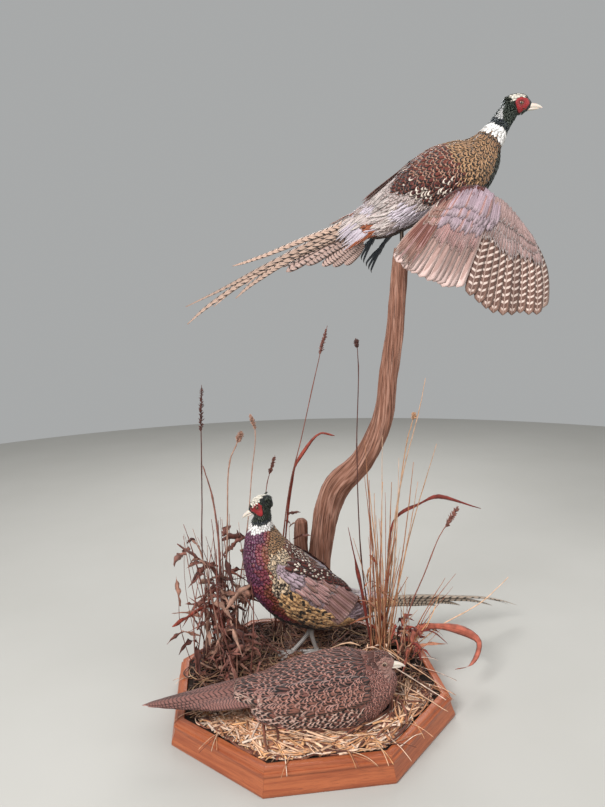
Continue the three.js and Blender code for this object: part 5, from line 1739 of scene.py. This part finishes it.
def dryPlantMaterial(name, roughness, streak):
    # sun-dried stems and leaves: papery, streaked along their length, blotched
    material, tree = newMaterial(name, {"Roughness": roughness, "Sheen Weight": 0.1, "IOR": 1.45,
                                                "Specular IOR Level": 0.35})
    vane = addNode(tree, "Attribute", {"attribute_name": "vane"}, out=1)
    parts = addNode(tree, "SeparateXYZ", inputs={0: vane}, out=None).outputs
    length = addNode(tree, "Attribute", {"attribute_name": "length"}, out=2)
    along = addNode(tree, "Math", {"operation": "MULTIPLY"}, {0: parts[1], 1: length})
    # veins about half a millimetre apart, blotches about 12 mm long
    veins = addNode(tree, "CombineXYZ", inputs={0: parts[0], 1: along, 2: parts[2]})
    thin = addNode(tree, "VectorMath", {"operation": "MULTIPLY"}, {0: veins, 1: (streak, 0.03, 37.0)})
    lines = addNode(tree, "TexNoise", inputs={"Vector": thin, "Scale": 1.0, "Detail": 2.0})
    broad = addNode(tree, "VectorMath", {"operation": "MULTIPLY"}, {0: veins, 1: (0.6, 0.08, 53.0)})
    blotch = addNode(tree, "TexNoise", inputs={"Vector": broad, "Scale": 1.0, "Detail": 3.0})
    tint = addNode(tree, "Attribute", {"attribute_name": "tint"})
    shade = addNode(tree, "MapRange", inputs={0: lines, 1: 0.3, 2: 0.7, 3: 0.72, 4: 1.16})
    cloud = addNode(tree, "MapRange", inputs={0: blotch, 1: 0.34, 2: 0.68, 3: 0.62, 4: 1.2})
    shade = addNode(tree, "Math", {"operation": "MULTIPLY"}, {0: shade, 1: cloud})
    colour = addNode(tree, "VectorMath", {"operation": "SCALE"}, {0: tint, "Scale": shade})
    return dressed(material, colour, lines, 0.5, 0.0003)


dryStraw = dryPlantMaterial("driedStraw", 0.5, 5.0)
dryLeaf = dryPlantMaterial("driedLeaf", 0.66, 6.0)

plants = {
    "straw": ["#E0A274", "#F7CAA6", "#FFE3CD", "#C3855D", "#975C47", "#ECBC97", "#F5B984", "#6C3E2F",
              "#FFD8BA"],
    "litter": ["#6E4434", "#8A5C46", "#4C2E24", "#A57A5C", "#7A4C3A", "#5A3A2C", "#B08C68"],
    "weeds": ["#774538", "#885448", "#5B332B", "#9F715F", "#7F483D", "#946154", "#AC8370"],
    "fan": ["#B87C57", "#CA9B76", "#A66645", "#D3AB8D", "#9B5B40", "#C18B66"],
    "red": ["#9A4434", "#7E3228", "#B0604C", "#8A3A2C", "#C08468"],
}


def pick(name, rng):
    colour = np.array(linear(plants[name][int(rng.integers(len(plants[name])))]))
    colour[:3] *= rng.uniform(0.8, 1.15)
    return colour


def insideRim(x, y, margin=4):
    reach = baseFrame["acrossFlats"] / 2 - 15 - margin
    return all(x * math.cos(k * math.pi / 4) + y * math.sin(k * math.pi / 4) < reach for k in range(8))


def scatteredStraws(count, seed, tintName, centre, reach, lengths, halfWidths, pile, aim, curl):
    # straws that lie on the ground in a drift; aim gives the heading at a place, pile how deep they lie
    rng = np.random.default_rng(seed)
    rows = []
    steps = 9
    v = np.linspace(-0.5, 0.5, steps)
    tries = 0
    while len(rows) < count and tries < count * 12:
        tries += 1
        angle, r = rng.uniform(0, 2 * math.pi), math.sqrt(rng.uniform(0, 1))
        x, y = centre[0] + reach[0] * r * math.cos(angle), centre[1] + reach[1] * r * math.sin(angle)
        depth = pile(x, y)
        if depth <= 0 or not insideRim(x, y):
            continue
        heading = aim(x, y, rng)
        length = rng.uniform(*lengths)
        bend = rng.normal(0, curl)
        turn = heading + bend * v * 2
        # the straw's line, by adding up its headings from one end
        flow = ((x, np.cos(turn), math.cos(heading)), (y, np.sin(turn), math.sin(heading)))
        px, py = (at + np.concatenate([[0], np.cumsum(d[:-1] + d[1:])]) * length / (2 * (steps - 1))
                  - length * ahead / 2 for at, d, ahead in flow)
        if not all(insideRim(a, b, 1) for a, b in ((px[0], py[0]), (px[-1], py[-1]))):
            continue
        if any(underHen(a, b) for a, b in zip(px, py)):
            continue
        level = rng.uniform(0.15, 1) * depth
        tilt = rng.uniform(-0.5, 0.5) * depth * 0.5
        pz = groundHeight(px, py) + level + tilt * v * 2 + 1.2 * np.sin(v * 5 + rng.uniform(0, 6))
        line = np.stack([px, py, np.maximum(pz, groundHeight(px, py) + 0.4)], -1)
        up = unit(np.append(rng.normal(0, 0.35, 2), 1.0))
        half = rng.uniform(*halfWidths) * np.array([0.85, 1, 1, 1, 1, 1, 0.95, 0.8, 0.5])
        rows.append((line, up, half, pick(tintName, rng)))
    return ribbonShape(rows, seed, thick=0.45, camber=0.05)


def underHen(x, y):
    return ((x - 26) / 112) ** 2 + ((y + 134) / 44) ** 2 < 1


def nestAim(x, y, rng):
    # round the hen like a nest, with plenty of strays
    tangent = math.atan2((x - 20) / 170 ** 2, -(y + 134) / 95 ** 2)
    return tangent + rng.normal(0, 0.6) if rng.uniform() < 0.45 else rng.uniform(0, math.pi)


def buildStraw():
    def nestDepth(x, y):
        # deepest against the hen, thin towards the rim and the back
        out = math.sqrt(((x - 20) / 118) ** 2 + ((y + 134) / 52) ** 2)
        return (5 + 7 * math.exp(-((out - 1.1) / 0.45) ** 2)) * min(1.0, max(0.0, (-45 - y) / 30))

    nest = scatteredStraws(1800, 71, "straw", (6, -150), (244, 124), (24, 150), (0.8, 3.4), nestDepth,
                           nestAim, 0.3)
    buildPiece("nestStraw", nest, dryStraw)

    def litterDepth(x, y):
        behind = max(0.0, min(1.0, (y + 96) / 40)) * (0.5 + 0.5 * math.sin(0.021 * x + 2.2) ** 2)
        return 9 * behind + (7 if abs(x) > 120 else 2)

    litter = scatteredStraws(1500, 72, "litter", (0, 10), (250, 246), (24, 105), (0.6, 1.9), litterDepth,
                             lambda x, y, rng: rng.uniform(0, 2 * math.pi), 0.6)
    buildPiece("brownLitter", litter, dryLeaf)
    # single straws that cross the rim and hang over the edge: place on the rim, heading and length
    rng = np.random.default_rng(73)
    rows = []
    v = np.linspace(-0.55, 0.45, 12)
    over = [(-196, -172, 236, 74), (-188, -180, 250, 60), (-70, -262, 262, 46), (40, -262, 280, 52),
            (96, -262, 300, 60), (128, -246, 318, 66), (176, -196, 300, 58), (252, -92, 330, 78),
            (262, -40, 322, 88), (248, -104, 300, 60), (264, 24, 350, 50), (-250, -96, 200, 40),
            (150, -226, 20, 64), (60, -262, 330, 50), (-262, 30, 170, 46)]
    for x, y, heading, length in over:
        for n in range(2):
            a = math.radians(heading + rng.normal(0, 14))
            reach = length * rng.uniform(0.8, 1.2)
            px = x + np.cos(a) * reach * v + rng.normal(0, 3)
            py = y + np.sin(a) * reach * v + rng.normal(0, 3)
            pz = 49.5 + 0.5 * n - 26 * np.clip(v, 0, 1) ** 1.6 + 2.5 * np.sin(v * 6 + n) * np.clip(-v, 0, 1)
            half = rng.uniform(0.8, 1.4) * np.linspace(1, 0.5, 12)
            rows.append((np.stack([px, py, np.maximum(pz, 6)], -1), (0, 0, 1.0), half, pick("straw", rng)))
    buildPiece("rimStraws", ribbonShape(rows, 74, thick=0.4, camber=0.05), dryStraw)


# Driftwood

driftwood = {
    "limb": [[36, 212, 45.4, 35], [47, 208, 137, 29.5], [58, 195, 246, 26.5], [73, 172, 343, 28],
             [94, 150, 407, 28.5], [146, 125, 467, 25], [187, 106, 556, 22], [201, 96, 663, 20],
             [216, 95, 764, 18.5], [228, 95, 894, 16.5], [231, 95, 920, 15.5]],
    "stub": [[44, 206, 110, 15], [27, 203, 175, 17], [15, 198, 240, 16], [14, 195, 296, 15.5],
             [15, 195, 314, 14], [15, 195, 320, 9]],
    # knots: share of the way up, angle, width and how far they stand out
    "knots": [(0.13, 4.4, 26, 3.5), (0.3, 5.2, 20, 2.6), (0.42, 3.9, 24, 4.0), (0.55, 1.2, 18, 2.4),
              (0.66, 4.9, 14, 1.8), (0.82, 4.0, 12, 1.5), (0.93, 5.6, 12, 1.6)],
}


def driftwoodMaterial():
    # weathered hardwood: silvery tan ridges, dark drying cracks along a twisting grain
    material, tree = newMaterial("driftwoodGrain", {"Roughness": 0.78, "Specular IOR Level": 0.3})
    grain = addNode(tree, "Attribute", {"attribute_name": "grain"}, out=1)
    wide = addNode(tree, "VectorMath", {"operation": "MULTIPLY"}, {0: grain, 1: (0.011, 0.16, 0.16)})
    figure = addNode(tree, "TexNoise",
                     inputs={"Vector": wide, "Scale": 1.0, "Detail": 6.0, "Distortion": 1.2})
    thin = addNode(tree, "VectorMath", {"operation": "MULTIPLY"}, {0: grain, 1: (0.018, 0.75, 0.75)})
    cracks = addNode(tree, "TexNoise",
                     inputs={"Vector": thin, "Scale": 1.0, "Detail": 4.0, "Distortion": 0.4})
    ramp = addNode(tree, "ValToRGB", inputs={"Fac": figure}, out=None)
    stops = ramp.color_ramp
    stops.elements[0].position, stops.elements[0].color = 0.3, linear("#67402F")
    stops.elements[1].position, stops.elements[1].color = 0.68, linear("#B58A78")
    stops.elements.new(0.48).color = linear("#8E6250")
    dark = addNode(tree, "MapRange", inputs={0: cracks, 1: 0.55, 2: 0.68, 3: 0.0, 4: 0.8})
    colour = addNode(tree, "Mix", {"data_type": "RGBA"},
                     {0: dark, 6: ramp.outputs[0], 7: linear("#2C1610")}, 2)
    height = addNode(tree, "Math", {"operation": "MULTIPLY_ADD"}, {0: dark, 1: -1.5, 2: figure})
    return dressed(material, colour, height, 0.7, 0.0016)


def gnarledShape(stations, steps, sides, knots, twist, seed):
    # a limb with knots; share, angle, width and height of each, and a grain that twists along it
    rows = sampled(stations, steps)
    across, up = carriedFrame(rows[:, :3])
    arc = arcOf(rows[:, :3])
    angle = roundAngles(sides)
    spiral = angle[None] + twist * arc[:, None]
    wrap = np.stack([np.cos(spiral) * 30, np.sin(spiral) * 30, np.repeat(arc[:, None], sides, 1) * 0.16], -1)
    radius = rows[:, 3:4] * (1 + 0.055 * noiseAt(wrap, seed, 30) + 0.03 * noiseAt(wrap, seed + 1, 11)
                             + 0.018 * noiseAt(wrap, seed + 2, 5)) * 0.985
    for share, a, wide, high in knots:
        gap = (np.cos(angle[None] - a) - 1) * rows[:, 3:4] * 1.6
        squared = (arc[:, None] - share * arc[-1]) ** 2 + gap ** 2 * 2
        near = np.exp(-squared / (2 * wide ** 2))
        core = np.exp(-squared / (2 * (wide * 0.28) ** 2))
        radius = radius + high * near - high * 0.8 * core
    grain = np.stack([np.repeat(arc[:, None], sides, 1), np.cos(spiral) * 22, np.sin(spiral) * 22], -1)
    return ringShape(ringsRound(rows[:, :3], across, up, radius, radius, angle), {"grain": grain})


def buildDriftwood():
    material = driftwoodMaterial()
    limb = gnarledShape(driftwood["limb"], 260, 72, driftwood["knots"], 0.004, 101)
    limb["verts"][:, 2] = np.maximum(limb["verts"][:, 2], 43.0)
    stub = gnarledShape(driftwood["stub"], 70, 48, [(0.8, 4.6, 8, 2.4), (0.4, 3.5, 12, 2.0)], 0.006, 111)
    buildPiece("driftwoodLimb", limb, material, ("driftwood_limb",))
    buildPiece("driftwoodStub", stub, material, ("driftwood_stub",))


# Dry weeds and grasses

# stalks as place and radius from the root up; what: a plain stem, a seed head on its last part, or a leaf
tufts = {
    "left": [
        ("seed", "weeds",
         [[-186, 92, 46, 1.7], [-210, 98, 276, 1.4], [-205, 100, 408, 1.3], [-199, 100, 538, 1.2],
                           [-196, 100, 597, 1.0], [-193, 100, 650, 0.6]],
         0.66, 4.6),
        ("stem", "weeds",
         [[-172, 90, 46, 3.4], [-173, 85, 236, 2.8], [-174, 80, 349, 2.2], [-181, 75, 423, 1.8],
                           [-196, 70, 489, 1.0]],
         0, 0),
        ("seed", "weeds",
         [[-179, 90, 46, 2.0], [-156, 85, 322, 1.6], [-143, 80, 494, 1.4], [-129, 80, 525, 1.2],
                           [-117, 80, 556, 0.6]],
         0.8, 5.4),
        ("seed", "weeds",
         [[-168, 94, 46, 1.6], [-116, 120, 306, 1.2], [-96, 130, 460, 1.1], [-86, 130, 545, 0.9],
                           [-95, 130, 585, 0.5]],
         0.76, 4.2),
        ("seed", "weeds",
         [[-162, 98, 46, 1.5], [-112, 120, 167, 1.2], [-79, 130, 346, 1.1], [-64, 130, 435, 0.9],
                           [-47, 130, 490, 0.5]],
         0.8, 4.2),
        ("leaf", "weeds", [[-174, 90, 56, 4], [-173, 85, 188, 5], [-189, 75, 259, 7], [-222, 65, 294, 7.5],
                           [-259, 60, 330, 2.4]], 0, 0),
        ("leaf", "red", [[-174, 90, 60, 4], [-193, 70, 181, 6], [-240, 40, 177, 9], [-275, 20, 169, 2.4]],
         0, 0),
    ],
    "back": [
        ("seed", "weeds",
         [[-55, 200, 46, 1.9], [-35, 200, 222, 1.6], [-8, 200, 404, 1.4], [19, 200, 506, 1.2],
                           [62, 200, 679, 1.0], [87, 200, 765, 0.6]],
         0.82, 4.6),
        ("leaf", "red",
         [[-50, 204, 46, 2.4], [-28, 204, 222, 2.8], [-6, 204, 400, 3.4], [10, 200, 460, 5.5],
                         [64, 196, 521, 5], [98, 194, 513, 1.4]],
         0, 0),
    ],
    "middle": [
        ("seed", "weeds",
         [[155, 50, 46, 1.7], [129, 60, 256, 1.4], [122, 64, 511, 1.2], [128, 66, 693, 1.0],
                           [122, 66, 743, 0.6]],
         0.86, 4.4),
        ("stem", "fan", [[166, 50, 46, 1.7], [185, 48, 258, 1.5], [212, 44, 437, 1.2], [249, 40, 587, 1.0],
                         [263, 40, 655, 0.6]], 0, 0),
        ("seed", "fan", [[174, 54, 46, 1.7], [208, 56, 386, 1.4], [231, 60, 527, 1.1], [240, 60, 557, 0.9],
                         [247, 60, 585, 0.5]], 0.84, 4.6),
        ("leaf", "red", [[169, 52, 46, 2.0], [185, 56, 211, 2.6], [202, 60, 350, 3.2], [248, 62, 375, 5],
                         [300, 70, 389, 5.5], [407, 90, 352, 1.2]], 0, 0),
        ("leaf", "red", [[149, 46, 46, 2.4], [120, 40, 228, 4.2], [96, 36, 350, 1.2]], 0, 0),
    ],
    "right": [
        ("seed", "weeds",
         [[214, 56, 46, 1.7], [232, 56, 142, 1.5], [266, 58, 221, 1.3], [300, 60, 302, 1.1],
                           [323, 60, 337, 0.9], [343, 60, 369, 0.6]],
         0.74, 6.4),
        ("leaf", "red",
         [[228, 46, 46, 5], [247, 46, 99, 8], [304, 30, 110, 9.5], [371, 10, 85, 8], [335, -40, 61, 5],
                         [295, -60, 66, 1.6]],
         0, 0),
        ("stem", "straw",
         [[222, 50, 46, 1.5], [300, 50, 104, 1.3], [384, 45, 150, 1.1], [448, 40, 210, 0.6]], 0, 0),
    ],
}


def stemRows(stations, rng, steps=26):
    # a stalk that wanders a little between its stations
    rows = sampled(stations, steps)
    wander = np.cumsum(rng.normal(0, 0.35, (steps + 1, 3)), 0) * np.linspace(0, 1, steps + 1)[:, None]
    rows[:, :3] += wander
    rows[1:-1:6, 3] *= 1.35  # joints of the stem
    return rows


def stemShape(rows, tint, rng, sides=7):
    across, up = carriedFrame(rows[:, :3])
    angle = roundAngles(sides)
    rings = ringsRound(rows[:, :3], across, up, rows[:, 3:4], rows[:, 3:4], angle)
    n = len(rows)
    arc = arcOf(rows[:, :3])
    own = rng.uniform()
    vane = np.stack([np.tile(np.cos(angle), (n, 1)), np.repeat((arc / arc[-1])[:, None], sides, 1),
                     np.full((n, sides), own)], -1)
    data = {"vane": vane, "tint": np.tile(tint, (n, 1)), "length": np.full((n, 1), arc[-1])}
    return ringShape(rings, data)


def leafShape(stations, tint, rng, curl=1.0, steps=26):
    # a dried leaf: folded along its midrib, twisted, with a waved edge
    rows = sampled(stations, steps)
    across, up = carriedFrame(rows[:, :3])
    v = np.linspace(0, 1, steps + 1)
    twist = rng.uniform(-1.2, 1.2)
    twist = twist + (rng.uniform(-2.2, 2.2) * v + 0.5 * np.sin(v * 9 + rng.uniform(0, 6))) * curl
    ups = up * np.cos(twist)[:, None] + across * np.sin(twist)[:, None]
    half = rows[:, 3] * (1 + 0.22 * np.sin(v * 23 + rng.uniform(0, 6))) * np.where(v > 0.97, 0.5, 1)
    return ribbonShape([(rows[:, :3], ups, half, tint)], int(rng.integers(9999)), thick=0.35,
                       camber=rng.uniform(0.45, 1.0), sides=8)


def seedHead(rows, start, radius, tint, rng):
    # small pointed husks all round the last part of a stalk
    total = len(rows)
    first = int(start * total)
    husks = []
    tangents = tangentsOf(rows[:, :3])
    v = np.linspace(0, 1, 5)[:, None]
    count = 74
    for n in range(count):
        f = first + (total - 1.5 - first) * n / count
        k = int(f)
        place = rows[k, :3] + (rows[min(k + 1, total - 1), :3] - rows[k, :3]) * (f - k)
        t = tangents[k]
        around = unit(np.cross(t, rng.normal(size=3)))
        swell = math.sin(math.pi * min(1, 0.25 + 0.75 * (n + 1) / count)) ** 0.5 + 0.25
        way = unit(t * rng.uniform(0.7, 1.4) + around)
        length = radius * rng.uniform(1.0, 1.7) * swell
        shade = tint.copy()
        shade[:3] *= rng.uniform(0.6, 1.25)
        husks.append((place + around * 0.4 + way * length * v,
                      unit(np.cross(way, np.cross(t, around) + 1e-3)),
                      length * 0.24 * np.array([0.4, 1, 1, 0.7, 0.1]), shade))
    return ribbonShape(husks, int(rng.integers(9999)), thick=0.9, camber=0.0)


def buildTuft(name, seed, extra):
    rng = np.random.default_rng(seed)
    stems, leaves = [], []
    for what, colours, stations, start, radius in tufts[name]:
        tint = pick(colours, rng)
        if what == "leaf":
            leaves.append(leafShape(stations, tint, rng, 0.7))
            continue
        rows = stemRows(stations, rng)
        stems.append(stemShape(rows, tint, rng))
        if what == "seed":
            stems.append(seedHead(rows, start, radius, tint, rng))
    extra(rng, stems, leaves)
    buildPiece(name + "GrassStems", joinShapes(stems), dryStraw, ("grass_" + name,))
    buildPiece(name + "GrassLeaves", joinShapes(leaves), dryLeaf)


def thinStem(rng, root, top, colours, radius=1.1, bow=10):
    root, top = np.array(root, float), np.array(top, float)
    sideways = rng.normal(0, bow, 3) * (1, 1, 0.2)
    places = [root, root * 0.66 + top * 0.34 + sideways * 0.8, root * 0.33 + top * 0.67 + sideways, top]
    stations = [list(p) + [radius * s] for p, s in zip(places, (1, 0.9, 0.75, 0.4))]
    return stemShape(stemRows(stations, rng, 16), pick(colours, rng), rng, 6)


def hangingLeaf(rng, start, way, length, width, colours, droop=0.6):
    start, way = np.array(start, float), unit(np.array(way, float))
    side = rng.normal(0, 0.25, 3)
    places = []
    for v, w in ((0, 0.35), (0.25, 0.9), (0.5, 1), (0.75, 0.7), (1, 0.12)):
        p = start + way * length * v + side * length * v * v + np.array([0, 0, -droop * length]) * v * v
        p[2] = max(p[2], 47)
        places.append(list(p) + [width * w])
    return leafShape(places, pick(colours, rng), rng, 1.0, 16)


def leftExtra(rng, stems, leaves):
    # a thicket of thin weeds with curled leaves
    for _ in range(64):
        root = (rng.normal(-168, 34), rng.normal(70, 34), 46)
        if not insideRim(root[0], root[1]):
            continue
        height = rng.uniform(70, 330) * (1.0 if root[0] < -110 else 0.7)
        top = (root[0] + rng.normal(-4, 26), root[1] + rng.normal(0, 26), 46 + height)
        stems.append(thinStem(rng, root, top, "weeds", rng.uniform(0.7, 1.7)))
        for _ in range(2 if height > 140 else 1):
            f = rng.uniform(0.25, 0.95)
            at = np.array(root) * (1 - f) + np.array(top) * f
            way = (rng.normal() - (0.9 if at[0] > -130 else 0), rng.normal() * 0.7, rng.uniform(-0.4, 0.9))
            leaves.append(hangingLeaf(rng, at, way, rng.uniform(30, 84), rng.uniform(3, 8.5), "weeds",
                                      rng.uniform(0.1, 0.9)))
    for _ in range(46):
        at = (rng.normal(-170, 40), rng.normal(50, 40), 50 + rng.uniform(0, 60))
        if insideRim(at[0], at[1], 10):
            leaves.append(hangingLeaf(rng, at, (rng.normal(), rng.normal(), 0.3), rng.uniform(24, 60),
                                      rng.uniform(2, 6), "weeds", 0.4))


def backExtra(rng, stems, leaves):
    for _ in range(12):
        root = (rng.normal(-40, 26), rng.normal(196, 10), 46)
        top = (root[0] + rng.normal(14, 26), root[1] + rng.normal(0, 12), rng.uniform(120, 330))
        stems.append(thinStem(rng, root, top, "weeds", rng.uniform(0.7, 1.3)))
        leaves.append(hangingLeaf(rng, top, (rng.normal(), rng.normal() * 0.5, 0.2), rng.uniform(24, 60),
                                  rng.uniform(2, 4.6), "weeds", 0.7))


def middleExtra(rng, stems, leaves):
    # a fan of straight yellow stalks, some of them broken over
    for _ in range(38):
        root = (rng.normal(163, 9), rng.normal(46, 9), 46)
        lean = rng.normal(0, 1)
        height = rng.uniform(150, 500)
        top = (root[0] + lean * 0.13 * height + 6, root[1] + rng.normal(0, 0.09) * height, 46 + height)
        stems.append(thinStem(rng, root, top, "fan", rng.uniform(0.8, 1.7), 5))
    for _ in range(16):
        at = (rng.normal(170, 12), rng.normal(44, 10), rng.uniform(70, 260))
        leaves.append(hangingLeaf(rng, at, (rng.normal(), rng.normal() * 0.5, 0.9), rng.uniform(40, 100),
                                  rng.uniform(1.8, 4), "red" if rng.uniform() < 0.5 else "fan", 0.5))
    for _ in range(26):
        at = (rng.normal(160, 16), rng.normal(36, 14), rng.uniform(50, 84))
        leaves.append(hangingLeaf(rng, at, (rng.normal(), rng.normal(), 0.5), rng.uniform(26, 60),
                                  rng.uniform(1.2, 2.6), "straw", 0.8))


def rightExtra(rng, stems, leaves):
    for n in range(15):
        root = (rng.normal(218, 10), rng.normal(40, 22), 46)
        if not insideRim(root[0], root[1], 2):
            continue
        top = (root[0] + rng.uniform(-30, 110), root[1] + rng.normal(-4, 20), rng.uniform(90, 260))
        stems.append(thinStem(rng, root, top, "fan" if n % 3 else "straw", rng.uniform(0.7, 1.3)))
    for _ in range(26):
        at = (rng.normal(218, 12), rng.normal(30, 24), rng.uniform(50, 120))
        leaves.append(hangingLeaf(rng, at, (rng.uniform(-0.3, 1), rng.normal() * 0.6, 0.6),
                                  rng.uniform(30, 96),
                                  rng.uniform(2.4, 6.2), "red", 0.9))
    # long straws that lie from the tuft across the right rim
    for x, y, far in ((150, -40, 236), (170, -66, 250), (190, -30, 262), (140, -90, 240)):
        stems.append(thinStem(rng, (x - 20, y + 60, 74), (far, y - 74 + rng.normal(0, 10), 50), "straw",
                              1.4, 3))


buildBase()
buildSoil()
buildStraw()
buildDriftwood()
buildTuft("left", 201, leftExtra)
buildTuft("back", 202, backExtra)
buildTuft("middle", 203, middleExtra)
buildTuft("right", 204, rightExtra)
print("base, driftwood and grasses ready")
